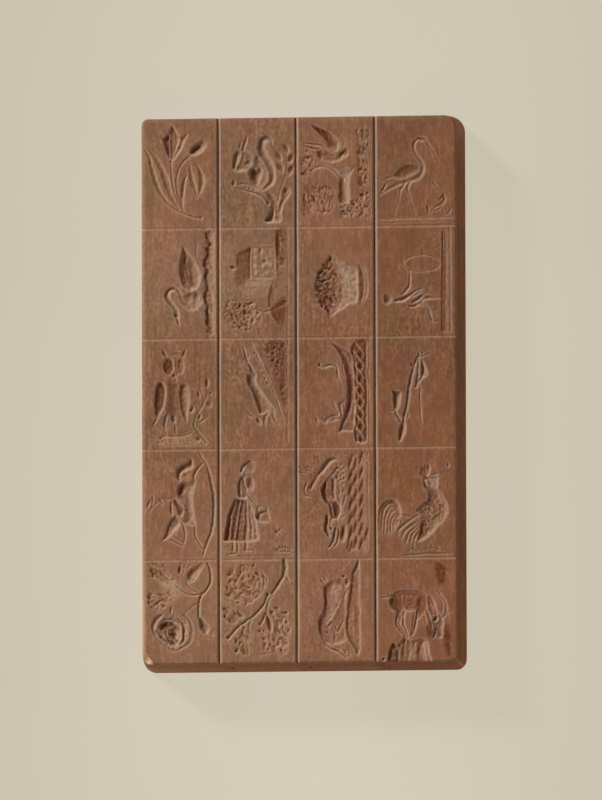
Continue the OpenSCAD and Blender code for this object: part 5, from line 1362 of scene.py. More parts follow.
def goat(r):
    for dark in (
        [(75, 95), (88, 99), (90, 112), (82, 117), (73, 108)], [(61, 58), (69, 56), (66, 80), (58, 86)],
        [(24, 62), (30, 58), (32, 72), (27, 78)], [(20, 124), (30, 118), (34, 144), (20, 146)],
    ):
        r.tint(dark, -0.5, soft=4)
    body = [(24, 56), (30, 51), (40, 48.4), (50, 47.8), (61, 48.8), (69, 52), (74, 57), (75, 66),
            (73, 77), (66.6, 84.4), (61, 89), (58, 79), (52, 78.6), (46, 77), (42, 77), (38, 85),
            (34, 93), (31.6, 88), (30, 80), (24, 74), (21.2, 66), (21.8, 59)]
    r.fill(body, 0.9, 7, tilt=(-0.012, 0))
    r.tint(body, -0.35, soft=6)
    r.tint([(36, 53), (50, 51), (64, 54), (60, 62), (42, 62)], 0.3, soft=5)
    r.tint([(22, 57), (30, 54), (36, 62), (39, 76), (34, 88), (28, 78), (22, 70)], -0.5, soft=5)
    r.bowl((24.6, 65), (3.4, 8.4), 0.3, turn=5, add=True)
    r.cut([(25, 56), (30, 51.6), (40, 49.4), (50, 48.6), (60, 49.6), (68, 52.4), (73, 56.6)],
          (3, 3.4, 3, 2.8, 2.8, 2.8, 2), 0.6, add=True)
    r.cut([(11, 58.4), (18, 57.4), (25, 54)], (1.4, 2.8, 3), 0.9)
    r.pits([(13, 53.2), (16.4, 53), (20, 53.4)], (1.1, 2), 0.7)
    r.cut([(33.4, 80), (31.4, 89), (31.6, 96), (36, 103), (41, 109.4), (44.6, 117.6)],
          (3, 4, 4, 3.6, 3, 2.6), 1.3)
    r.cut([(41.4, 77), (37.4, 87), (35.2, 94), (39.6, 102.4), (46.2, 114)], (3, 4.6, 4.4, 3.4, 2.6),
          1.0)
    r.cut([(43.8, 76), (41, 87), (41.4, 95), (44.4, 103), (47.6, 112.6)], (2.8, 3.4, 3, 2.8, 2.2), 1.15)
    r.cut([(41.4, 62), (43.6, 70), (47.6, 75), (52.6, 78.4)], (1.4, 3, 2.8, 1.6), 0.8, add=True)
    r.cut([(46, 68), (48, 73), (51, 76)], 1.6, 0.5, add=True)
    r.rib([(40, 54), (41, 64), (44, 72)], 3, 0.4)
    r.bowl((62.4, 66.4), (4, 12.6), 0.5, turn=8, add=True)
    r.tint(oval((62, 66), (3.4, 10)), -0.4)
    r.cut([(60.4, 78), (58.4, 90), (56.6, 99), (54.4, 109.6)], (4.4, 4.4, 3.8, 2.8), 1.3)
    r.cut([(56, 79), (54.4, 91), (53, 103), (52, 113)], (2.4, 3.4, 2.8, 2), 0.85)
    r.cut([(72.6, 77), (76, 86), (79.6, 97)], (3.4, 4.2, 2), 1.2)
    r.cut([(66, 85), (70, 86), (72, 96)], (2, 3, 1.6), 0.6)
    r.fill([(74, 57), (80, 57.6), (84.4, 66), (86.4, 76), (88.4, 82.6), (81, 87), (77.4, 82),
            (74.6, 72)], 0.95, 4, tilt=(-0.02, 0))
    r.rib([(77, 60), (80.4, 70), (84, 80)], 2.6, 0.5)
    head = [(82, 83.6), (90, 81.6), (95.4, 88), (96, 100), (94.4, 112), (89, 114), (86, 104.4),
            (81.6, 98), (79.6, 91)]
    r.fill(head, 1.0, 4, tilt=(-0.02, 0))
    r.rib(oval((85, 88), (4.8, 5.2)), 2.2, 0.7)
    r.bowl((85, 87.6), (2.7, 3.2), 1.3, add=True)
    r.cut([(86.6, 96.4), (85.4, 105), (82.2, 114)], (2.6, 4.4, 1.8), 1.6)
    r.cut([(79.4, 92), (80, 100)], (2.4, 2), 1.2)
    r.cut([(82, 48.6), (90, 53.6), (96.6, 62.6), (100.2, 73), (99.4, 83)], (1.6, 3, 4, 4.4, 3),
          (0.4, 0.6, 0.8, 0.9, 0.7), tone=0.3)
    r.cut([(84, 55), (91, 60.4), (95, 69.6), (93.6, 80)], (1.6, 2.8, 3, 2.4), 0.6, tone=0.3)
    r.cut([(88, 50), (91, 53), (92, 57)], 1.8, 0.6, add=True)
    r.cut([(93.6, 88), (97.4, 83), (103.6, 78.6)], (2.2, 3.6, 1.4), 0.9)
    r.cut([(101, 80), (102.6, 86), (103, 93)], (1.8, 2.2, 1.2), 0.6)
    rock = [(19.4, 149), (19, 138), (21.8, 129), (27, 120.6), (31, 123), (36, 118.6), (42, 112.6),
            (47, 116), (52, 118), (58, 116), (64, 114), (70, 115), (75, 120), (76.6, 134), (77.8, 147),
            (60, 149), (40, 149.4)]
    r.fill(rock, 0.85, 4)
    for place, size, turn in (
        ((28, 125), (3.8, 5.4), 15), ((23.4, 138), (3, 11), 6), ((42, 119.4), (2.4, 6), 5),
        ((36, 123), (1.6, 3.4), 0), ((41, 134), (3, 12), 4), ((33, 137), (2.4, 10), 0),
        ((62, 132), (3, 13), 10), ((47.6, 117.4), (2, 2.8), 0), ((48.4, 136), (1.5, 8), 0),
        ((66.4, 121), (2, 4), 20), ((55, 124), (1.5, 5), 4),
    ):
        r.bowl(place, size, 0.6, turn=turn, deep=(-0.2, 0), add=True)
        r.tint(oval(place, size), -0.7, soft=2)
    r.tint([(20, 130), (26, 121), (32, 124), (34, 148), (20, 149)], -0.6)
    r.tint([(50, 119), (58, 118), (58, 147), (46, 148)], 0.45)
    r.tint([(67, 118), (75, 120), (77, 146), (68, 148)], 0.8, soft=2)
    for stain_and_pit_shade in (
        [(83, 14), (92, 10), (101, 20), (100, 36), (91, 44), (85, 30)],
        [(95, 98), (105, 96), (108, 120), (104, 140), (95, 126)],
        [(97, 36), (104, 38), (103, 42), (98, 41)],
        [(74, 90), (83, 95), (84, 109), (77, 114), (71, 102)],
    ):
        r.tint(stain_and_pit_shade, -0.85, soft=5)
        r.leafy(stain_and_pit_shade, 0, 0, 61, size=3.4, stain_and_pit_shade=1.1)
    r.rib([(70, 120), (71, 130), (73, 144)], (2, 4, 3), 0.5)
    r.bowl((14, 142), (2.1, 2.3), 1.6)


PICTURES = (
    (tulip, squirrel, bird_in_tree, stork),
    (swan, house, flower_basket, child_with_hoop),
    (owl, leaping_deer, boat, crossed_tools),
    (archer, girl_with_can, browsing_animal, rooster),
    (rose, oak_branch, running_animal, goat),
)

# Steps in from a side of the board: the first one, how they grow, and how many there are
EDGE_FIRST = 0.1
EDGE_GROWTH = 1.3
EDGE_COUNT = 24

# The share of a picture's depth that is blurred, how often, and how often its tone is
BLUR_SHARE = 0.25
BLUR_TIMES = 6
TONE_BLUR = 1

# Worn, paler places on the face and darker ones: middle, reach and how much
WORN = ((-55, 52, 26, 0.22), (-20, 52, 22, 0.14), (-40, -98, 42, 0.2), (30, -98, 40, 0.08),
        (10, 4, 30, -0.1), (-58, 2, 18, -0.1))

# Painted highlight along the left rim, and on the gentle side of each scored line, which faces the light
RIM_HIGHLIGHT = 0.7
RIM_WIDE = 2.0
SCORE_HIGHLIGHT = 0.5

# How cuts made by hand waver: size of a stretch, how far it is off, and a seed
WAVER = ((5.0, 0.22, 81), (1.6, 0.16, 83))

# Keeps a place that has been shifted just inside the last cell of the grid
LAST_CELL = 1.001

# Tool marks in the hollows as amount, size and seed, and the depths at which they are strongest
GOUGE_MARKS = ((0.16, (1.1, 1.3), 91), (0.14, (2.6, 3.1), 92))
GOUGE_FULL = 0.8
FINE_MARKS = ((0.06, (0.75, 0.9), 93),)
FINE_FULL = 0.4

# How the V edges waver, how the face is worn down towards its rim, and how uneven it is
V_WAVER = 0.12
V_WAVER_SIZE = (9, 9)
WEAR_WIDE = 2.2
WEAR_DEEP = 0.3
UNEVEN = ((0.05, (7, 16), 71), (0.03, (2.2, 9), 72))
UNEVEN_HIGH = 0.05


def soften(grid, times):
    """Blurs a grid a little, the given number of times."""
    for _ in range(times):
        for axis in (0, 1):
            wide = np.pad(grid, [(1, 1) if a == axis else (0, 0) for a in (0, 1)], mode="edge")
            ahead, behind = (np.roll(wide, step, axis) for step in (1, -1))
            inner = tuple(slice(1, -1) if a == axis else slice(None) for a in (0, 1))
            grid = ((ahead + 2 * wide + behind) / 4)[inner]
    return grid


def steps(first, last):
    """Even steps from first up to, but not onto, last."""
    return np.linspace(first, last, max(2, round(abs(last - first) / PITCH) + 1))[:-1]


def edge_steps():
    """Distances from a side of the board that start fine, to follow its round corners."""
    return np.cumsum([0] + [min(PITCH, EDGE_FIRST * EDGE_GROWTH**count) for count in range(EDGE_COUNT)])


def columns(stave):
    """Where the columns of a stave's face lie, from its left edge to its right one."""
    if stave == 0:
        *left, begin = FACE_X[0] + FACE_EASE + edge_steps()
    else:
        joint = JOINTS[stave - 1]
        begin = joint + GROOVE_L
        left = np.concatenate([steps(joint, joint + V_HALF), steps(joint + V_HALF, begin)])
    if stave == LAST:
        right = FACE_X[1] - FACE_EASE - edge_steps()[::-1]
    else:
        joint = JOINTS[stave]
        right = np.append(steps(joint - V_HALF, joint), joint)
    return np.concatenate([left, steps(begin, right[0]), right])


def rows():
    """Where the rows of the faces lie, from the top down, with one on each scored line."""
    ends = [FACE_Y[1] - FACE_EASE, *ROW_TOP[1:-1], FACE_Y[0] + FACE_EASE]
    return np.concatenate([steps(a, b) for a, b in zip(ends, ends[1:])] + [ends[-1:]])


def corner_of(x, side, end):
    """How far the outline has turned in at a column by a round corner, and its direction there."""
    radius = CORNER_R[side, end] - FACE_EASE
    out = (FACE_X[0] + FACE_EASE + radius - x) if side == "left" else (x - FACE_X[1] + FACE_EASE + radius)
    out = np.clip(out, 0, radius)
    up = np.sqrt(radius**2 - out**2)
    return radius - up, out / radius * (-1 if side == "left" else 1), up / radius


def outline(stave, xs, end):
    """How far a stave's end has turned in at each column, and the direction that faces out there."""
    drop, across, along = np.zeros(len(xs)), np.zeros(len(xs)), np.ones(len(xs))
    side = {0: "left", LAST: "right"}.get(stave)
    if side:
        drop, across, along = corner_of(xs, side, end)
    return drop, across, along * (1 if end == "top" else -1)


def carved(stave, xs, ys):
    """Depth of a stave's pictures below the flat, and how much their places are darkened or pale, mostly as
    painted shade and painted highlight.
    """
    depth, tone = np.zeros((2, len(ys), len(xs)))
    left = FACE_X[0] if stave == 0 else JOINTS[stave - 1]
    for row, picture in enumerate(line[stave] for line in PICTURES):
        inside = (ys <= ROW_TOP[row]) & (ys > ROW_TOP[row + 1])
        share = row / (len(ROW_H) - 1)
        start, drop = (np.interp(share, (0, 1), ends[stave]) for ends in (LEFT_UNITS, DROP_UNITS))
        u = start + (xs - left) / UNIT
        v = TOP_UNITS[row] - drop + (ROW_TOP[row] - ys[inside]) / UNIT
        relief = Relief(u, v)
        picture(relief)
        blurred = soften(relief.depth, BLUR_TIMES)
        depth[inside] = RELIEF * ((1 - BLUR_SHARE) * relief.depth + BLUR_SHARE * blurred)
        tone[inside] = soften(relief.tone, TONE_BLUR)
    for x, y, reach, amount in WORN:
        tone += amount * np.exp(-((xs[None, :] - x) ** 2 + (ys[:, None] - y) ** 2) / reach**2)
    tone += RIM_HIGHLIGHT * clamp(1 - (xs[None, :] - FACE_X[0]) / RIM_WIDE)
    for line in ROW_TOP[1:-1]:
        below = (line - ys[:, None]) / SCORE_GENTLE
        tone += SCORE_HIGHLIGHT * clamp(1 - np.abs(below - 1))
    return hand_cut(depth, xs, ys), tone


def hand_cut(depth, xs, ys):
    """Shifts a face's grid a little here and there, and roughens its hollows, as cuts made by hand are."""
    x, y = np.broadcast_arrays(xs[None, :], ys[:, None])
    shift = np.zeros((2, *x.shape))
    for size, reach, seed in WAVER:
        shift += [reach * patches(x, y, (size, size), seed + axis) for axis in (0, 1)]
    row = np.clip(np.arange(len(ys))[:, None] + shift[0] / PITCH, 0, len(ys) - LAST_CELL)
    col = np.clip(np.arange(len(xs))[None, :] + shift[1] / PITCH, 0, len(xs) - LAST_CELL)
    r, c = row.astype(int), col.astype(int)
    s, t = row - r, col - c
    upper = depth[r, c] * (1 - t) + depth[r, c + 1] * t
    lower = depth[r + 1, c] * (1 - t) + depth[r + 1, c + 1] * t
    moved = upper * (1 - s) + lower * s
    fine = layers(x, y, FINE_MARKS) * clamp(moved / FINE_FULL)
    return moved + layers(x, y, GOUGE_MARKS) * np.minimum(moved, GOUGE_FULL) + fine


def add_edges(depth, stave, xs, ys):
    """Deepens a face's grid for the V edges, the scored lines and the uneven, rubbed surface."""
    x, y = xs[None, :], ys[:, None]
    for joint in JOINTS[max(stave - 1, 0):stave + 1]:
        rub = 1 + V_WAVER * patches(np.full_like(y, joint), y, V_WAVER_SIZE, stave)
        depth = np.maximum(depth, V_DEEP * (1 - np.abs(x - joint) / (V_HALF * rub)))
    for line in ROW_TOP[1:-1]:
        gap = np.where(y > line, (y - line) / SCORE_STEEP, (line - y) / SCORE_GENTLE)
        depth = np.maximum(depth, SCORE_DEEP * (1 - gap))
    near_side = np.minimum(x - FACE_X[0], FACE_X[1] - x)
    near_end = np.minimum(y - FACE_Y[0], FACE_Y[1] - y)
    worn = clamp(1 - np.minimum(near_side, near_end) / WEAR_WIDE) ** 2
    uneven = layers(*np.broadcast_arrays(x, y), UNEVEN)
    return depth + WEAR_DEEP * worn + np.maximum(uneven, -UNEVEN_HIGH) + UNEVEN_HIGH


def chain(stave, index):
    """The grid's rim as runs of vertices that go round the outside to the left, without the joints."""
    top, bottom = index[0, ::-1], index[-1, :]
    if stave == 0:
        return [np.concatenate([top, index[1:-1, 0], bottom])]
    if stave == LAST:
        return [np.concatenate([bottom, index[-2:0:-1, -1], top])]
    return [top, bottom]


# Heights of the rings of vertices down the sides; the rim of the face's grid is ring 0, above them
LEVELS = [THICK - FACE_EASE, THICK - 1.2, THICK - 2.2, THICK - 3.6, 17.5, GROOVE_Z[0], TONGUE_Z[0],
          TONGUE_Z[1], GROOVE_Z[1], 4.0, BACK_EASE, 0.0]
AT_GROOVE_TOP, AT_TONGUE_TOP, AT_TONGUE_BOTTOM, AT_GROOVE_BOTTOM = 6, 7, 8, 9


def reach_out(z):
    """How far the side of the board stands out from the rim of the face's grid at a height."""
    lean = SIDE_LEAN * (THICK - FACE_EASE - z) / (THICK - FACE_EASE - BACK_EASE)
    return FACE_EASE + (lean if z >= BACK_EASE else SIDE_LEAN - BACK_EASE + z)


# Chips round the bottom left corner's arris, bitten out by balls: turn in degrees, radius and bite
CHIPS = ((-164, 6.0, 1.3), (-143, 7.0, 2.3), (-122, 4.5, 1.6))

# The ragged surface of the chips: amount, size and seed, how far it stands out, the radius of balls
# that are too small for it, and how far the fresh wood fades out round it
CHIP_MARKS = ((1, (1.4, 1.8), 95), (0.6, (0.6, 0.8), 96))
CHIP_RAGGED = 0.45
CHIP_SMALL = 2.0
CHIP_FADE = 0.25

# Flecks on the bottom arris: place along it and radius; how far out they are, and how fresh
FLECKS = ((-61.3, 1.0), (-49.7, 0.9), (-40.5, 0.8), (-36.9, 1.5))
FLECK_OUT = 0.35
FLECK_FRESH = 0.5

# Fresh wood along the left rim, none at the first place and most at the second
RIM_FRESH = 0.6
RIM_FRESH_Y = (-66.0, -100.0)

# The paler turn of the bottom corners, the rubbed first rings, and the height below which the sides get
# painted bounce light
MITRE_PALE = 0.7
MITRE_OUT = 0.7
MITRE_HALF = 0.16
RIM_RUBBED = (0.9, 0.35)
BOUNCE_LIGHT_Z = 20.0

# How far into the face its rows are bent by the round corners
CORNER_FADE = 14.0

# What the marks on a face are measured by: blurs of its grid, slopes, depths and gains
SLOPE_BLUR = 1
NEAR_BLUR = 4
WIDE_BLUR = 14
WALL_FROM = 0.15
WALL_RANGE = 0.5
HOLLOW_SHADE_FULL = 1.5
CREASE_SHADE_FULL = 0.35
RUBBED_FULL = 0.14
DUST_AND_HIGHLIGHT_GAIN = 1.15
SOIL_AND_SHADE_GAIN = 1.3


def chip_at(turn, radius, bite):
    """Middle of a ball that takes a bite out of the bottom left corner's arris, at an angle round it."""
    corner = CORNER_R["left", "bottom"]
    lift = (radius - bite) * np.sqrt(0.5)
    across, along = np.cos(np.radians(turn)), np.sin(np.radians(turn))
    out = corner + lift
    return FACE_X[0] + corner + out * across, FACE_Y[0] + corner + out * along, THICK + lift


class Stave:
    """Builds one stave as a closed mesh: the carved face, the sides, the ends, the joints and the back."""

    def __init__(self, stave):
        self.stave = stave
        xs, ys = columns(stave), rows()
        depth, tone = carved(stave, xs, ys)
        depth = add_edges(depth, stave, xs, ys)
        self.index = np.arange(depth.size).reshape(depth.shape)
        self.faces = []
        self.face_grid(xs, ys, depth, tone)
        self.sides(xs)
        self.flat_from = len(self.faces)
        if stave > 0:
            self.groove(xs)
        if stave < LAST:
            self.tongue()
        self.back()
        self.chips()

    def face_grid(self, xs, ys, depth, tone):
        """The carved face, its ends drawn in at the round corners, and the marks on it."""
        turned = [outline(self.stave, xs, end)[0] for end in ("top", "bottom")]
        from_top, from_bottom = ys[0] - ys[:, None], ys[:, None] - ys[-1]
        y = ys[:, None] - turned[0] * clamp(1 - from_top / CORNER_FADE)
        y = y + turned[1] * clamp(1 - from_bottom / CORNER_FADE)
        self.points = np.dstack([np.broadcast_to(xs, depth.shape), y, THICK - depth]).reshape(-1, 3)
        at = self.index
        squares = np.dstack([at[:-1, :-1], at[1:, :-1], at[1:, 1:], at[:-1, 1:]])
        self.faces += squares.reshape(-1, 4).tolist()
        near, wide = soften(depth, NEAR_BLUR), soften(depth, WIDE_BLUR)
        steep = np.hypot(*np.gradient(soften(depth, SLOPE_BLUR), PITCH))
        # Marks: painted shade in deep hollows and in narrow creases, paler steep walls and rubbed rims, and
        # the tone split into painted highlight above 0 and painted shade below, with some stains and
        # patches; the sides' painted bounce light is set later
        marks = {
            "wall": (steep - WALL_FROM) / WALL_RANGE,
            "hollow": near / HOLLOW_SHADE_FULL,
            "crease_shade": (depth - wide) / CREASE_SHADE_FULL,
            "rubbed": (near - depth) / RUBBED_FULL,
            "dust_and_highlight": DUST_AND_HIGHLIGHT_GAIN * tone,
            "soil_and_shade": -SOIL_AND_SHADE_GAIN * tone,
            "bounce_light": np.zeros_like(depth),
        }
        self.marks = {name: clamp(values).ravel() for name, values in marks.items()}

    def grow(self, points, rubbed=0):
        """Adds vertices and returns their numbers."""
        first = len(self.points)
        self.points = np.vstack([self.points, points])
        for name, values in self.marks.items():
            self.marks[name] = np.append(values, np.full(len(points), rubbed if name == "rubbed" else 0.0))
        return np.arange(first, len(self.points))

    def sides(self, xs):
        """The rings of vertices down the outside, from the face to the back."""
        out = np.zeros((self.index.size, 2))
        for end, row in (("top", 0), ("bottom", -1)):
            _, across, along = outline(self.stave, xs, end)
            out[self.index[row]] = np.column_stack([across, along])
        side = {0: (0, -1), LAST: (-1, 1)}.get(self.stave)
        if side:
            out[self.index[1:-1, side[0]]] = (side[1], 0)
        self.rings = []
        for rim in chain(self.stave, self.index):
            top = self.points[rim]
            ring = [rim]
            # Painted bounce light from the paper, only on the right and bottom sides, which face away from
            # the sun
            bounce_light = clamp(np.maximum(out[rim, 0], -out[rim, 1]))
            mitre = clamp(1 - np.abs(out[rim, 0] - MITRE_OUT) / MITRE_HALF) * (out[rim, 1] < 0)
            for level, z in enumerate(LEVELS):
                points = top.copy()
                points[:, :2] += out[rim] * reach_out(z)
                above = max(z - GROOVE_Z[0], 0) / (THICK - GROOVE_Z[0])
                points[:, 2] = min(z, GROOVE_Z[0]) + above * (top[:, 2] - GROOVE_Z[0])
                ring.append(self.grow(points, rubbed=RIM_RUBBED[level] if level < len(RIM_RUBBED) else 0))
                self.marks["dust_and_highlight"][ring[-1]] = MITRE_PALE * mitre
                low = clamp((BOUNCE_LIGHT_Z - z) / BOUNCE_LIGHT_Z) * (z > 0)
                self.marks["bounce_light"][ring[-1]] = low * bounce_light
            self.rings.append(np.array(ring))
        wide = self.index.shape[1]
        self.top_end = (self.rings[0] if self.stave < LAST else self.rings[0][:, -wide:])[:, :wide][:, ::-1]
        self.bottom_end = self.rings[-1][:, -wide:] if self.stave < LAST else self.rings[0][:, :wide]
        for ring in self.rings:
            quads = np.dstack([ring[:-1, :-1], ring[1:, :-1], ring[1:, 1:], ring[:-1, 1:]])
            keep = np.ones(quads.shape[:2], bool)
            if self.stave > 0:
                x = self.points[:, 0]
                limit = JOINTS[self.stave - 1] + GROOVE_L + TINY
                inside = (x[ring[0, :-1]] < limit) & (x[ring[0, 1:]] < limit)
                keep[AT_GROOVE_TOP:AT_GROOVE_BOTTOM, inside] = False
            self.faces += quads[keep].tolist()

    def groove(self, xs):
        """The left edge, with the groove that takes the tongue of the stave on its left."""
        top, bottom = self.top_end, self.bottom_end
        inner = int(np.argmin(np.abs(xs - JOINTS[self.stave - 1] - GROOVE_L)))
        high, low = AT_GROOVE_TOP, AT_GROOVE_BOTTOM
        self.faces.append([*self.index[::-1, 0], *top[1:high + 1, 0], *bottom[high:0:-1, 0]])
        self.faces.append([bottom[low, 0], *top[low:, 0], *bottom[:low:-1, 0]])
        self.faces.append([*top[high, :inner + 1], *bottom[high, inner::-1]])
        self.faces.append([*bottom[low, :inner + 1], *top[low, inner::-1]])
        up, down = top[:, inner], bottom[:, inner]
        for level in range(high, low):
            self.faces.append([down[level], up[level], up[level + 1], down[level + 1]])

    def tongue(self):
        """The right edge, with the tongue that stands out from it."""
        top, bottom = self.top_end[:, -1], self.bottom_end[:, -1]
        high, low = AT_TONGUE_TOP, AT_TONGUE_BOTTOM
        self.faces.append([*self.index[:, -1], *bottom[1:high + 1], *top[high:0:-1]])
        self.faces.append([top[low], *bottom[low:], *top[:low:-1]])
        roots = [top[high], top[low], bottom[high], bottom[low]]
        a, b, c, d = self.grow(self.points[roots] + (TONGUE_L, 0, 0))
        self.faces += [[top[high], bottom[high], c, a], [top[low], b, d, bottom[low]], [a, c, d, b],
                       [a, b, top[low], top[high]], [bottom[high], bottom[low], d, c]]

    def back(self):
        """The flat back."""
        self.faces.append(np.concatenate([ring[-1] for ring in self.rings])[::-1].tolist())

    def chips(self):
        """Presses in what lies inside the chips and flecks, and marks the fresh wood there."""
        x, y, z = self.points.T
        rim = clamp(1 - (x - FACE_X[0]) / RIM_WIDE) * (z > THICK - RIM_WIDE)
        fresh = RIM_FRESH * rim * clamp((y - RIM_FRESH_Y[0]) / (RIM_FRESH_Y[1] - RIM_FRESH_Y[0]))
        ragged = CHIP_RAGGED * layers(x, y, CHIP_MARKS)
        arris = (FACE_Y[0] - FLECK_OUT, THICK + FLECK_OUT)
        balls = [(chip_at(*chip), chip[1], 1) for chip in CHIPS]
        balls += [((at, *arris), size, FLECK_FRESH) for at, size in FLECKS]
        for middle, radius, share in balls:
            away = self.points - middle
            gap = np.linalg.norm(away, axis=1)
            reach = radius + ragged * (radius > CHIP_SMALL)
            fresh = np.maximum(fresh, share * clamp((reach + CHIP_FADE - gap) / (2 * CHIP_FADE)))
            inside = gap < reach
            self.points[inside] = middle + away[inside] / gap[inside, None] * reach[inside, None]
        self.marks["fresh"] = fresh

    def build(self):
        """The mesh in metres, with the marks that its material reads."""
        mesh = bpy.data.meshes.new(STAVES[self.stave])
        mesh.from_pydata((self.points * MM).tolist(), [], self.faces)
        smooth = np.arange(len(self.faces)) < self.flat_from
        mesh.polygons.foreach_set("use_smooth", smooth)
        for name, values in self.marks.items():
            mesh.attributes.new(name, "FLOAT", "POINT").data.foreach_set("value", values.astype(np.float32))
        mesh.validate()
        mesh.update()
        return mesh


class Shader:
    """Adds nodes to a material; an input is a number, a colour or the output of another node."""

    def __init__(self, name):
        self.material = bpy.data.materials.new(name)
        self.material.use_nodes = True
        self.tree = self.material.node_tree
        self.surface = self.tree.nodes["Principled BSDF"]

    def feed(self, socket, value):
        """Links a socket to the output of another node, or sets its value."""
        if isinstance(value, bpy.types.NodeSocket):
            self.tree.links.new(value, socket)
        else:
            socket.default_value = value

    def set(self, node, **inputs):
        """Feeds a node's sockets by their names, with _ for a space."""
        for name, value in inputs.items():
            self.feed(node.inputs[name.replace("_", " ")], value)

    def add(self, kind, settings=None, **inputs):
        """A new node with its settings and inputs."""
        node = self.tree.nodes.new("ShaderNode" + kind)
        for name, value in (settings or {}).items():
            setattr(node, name, value)
        self.set(node, **inputs)
        return node

    def math(self, operation, first, second):
        """A sum, a product and so on of two numbers."""
        node = self.add("Math", {"operation": operation})
        self.feed(node.inputs[0], first)
        self.feed(node.inputs[1], second)
        return node.outputs[0]

    def times(self, first, second):
        return self.math("MULTIPLY", first, second)

    def length(self, vector):
        node = self.add("VectorMath", {"operation": "LENGTH"})
        self.feed(node.inputs[0], vector)
        return node.outputs["Value"]

    def place(self, scale=(1, 1, 1), shift=(0, 0, 0)):
        """The place on the object, in metres, stretched and shifted."""
        place = self.add("TexCoord").outputs["Object"]
        return self.add("Mapping", Vector=place, Scale=scale, Location=shift).outputs[0]

    def noise(self, scale, shift=(0, 0, 0), detail=2.0, rough=0.5):
        """Random values from 0 to 1, stretched by a scale along each axis."""
        place = self.place(scale, shift)
        return self.add("TexNoise", Vector=place, Scale=1.0, Detail=detail, Roughness=rough).outputs[0]

    def ramp(self, value, low, high, first=0.0, last=1.0):
        """A value between low and high turned into one between first and last."""
        node = self.add("MapRange", Value=value, From_Min=low, From_Max=high, To_Min=first, To_Max=last)
        return node.outputs[0]

    def mix(self, share, first, second, blend="MIX"):
        """A share of the second colour over the first; the sockets of colours have these numbers."""
        node = self.add("Mix", {"data_type": "RGBA", "blend_type": blend})
        for at, value in ((0, share), (6, first), (7, second)):
            self.feed(node.inputs[at], value)
        return node.outputs[2]

    def cover(self, colour, value, low, high, most, layer):
        """A colour with another one over it where a value is near high, and none where it is near low."""
        return self.mix(self.ramp(value, low, high, 0, most), colour, layer)

    def mark(self, name):
        """One of the marks that a stave's mesh carries."""
        return self.add("Attribute", {"attribute_name": name}).outputs["Fac"]


def shade(colour, factor):
    """A colour times a number, or times one for each of its channels."""
    return (*(np.array(colour[:3]) * factor), 1)


# Colours of rubbed wood, of the fresh wood in chips, and of painted highlight and pale dust
PALE = (0.38, 0.265, 0.185, 1)
FRESH = (0.48, 0.325, 0.17, 1)
DUST_AND_HIGHLIGHT = (0.34, 0.235, 0.165, 1)

# The wood turns from a cooler colour at the top to a warmer one at the bottom, and its shaded sides are
# paler with painted bounce light
TOP_TINT = (0.93, 1.005, 1.03, 1)
BOTTOM_TINT = (1.035, 0.99, 0.985, 1)
TINT_SHARE = 0.8
TINT_Y = (0.09, -0.06)
BOUNCE_LIGHT_GAIN = (1.72, 1.7, 1.75, 1)

# Growth rings: how far off the first stave's pith is, and how that changes from stave to stave, the
# stretch along it, rings per metre and their drift. Then the shift of the grain from stave to stave
PITH = (0.02, 0, 0.075)
PITH_STEP = (-0.013, 0, 0.01)
ALONG_PITH = (1, 0.02, 1)
RINGS = 620.0
RING_DRIFT = 0.012
GRAIN_STEP = (0.31, 0.17, 0.23)

# How far the grain stands up, in metres, and how shiny the wood and the paper are
WOOD_BUMP = 0.0003
WOOD_SHINE = 0.14
PAPER_BUMP = 0.0002
PAPER_SHINE = 0.1

# The paper's colours, with a painted pool of light near the board and dimmer paper away from it, the share
# of its light that is its own, and half its width in metres
PAPER_LIT_NEAR = (0.675, 0.622, 0.505, 1)
PAPER_DIM_FAR = (0.59, 0.548, 0.44, 1)
PAPER_GLOW = 0.9
PAPER_HALF = 2.0


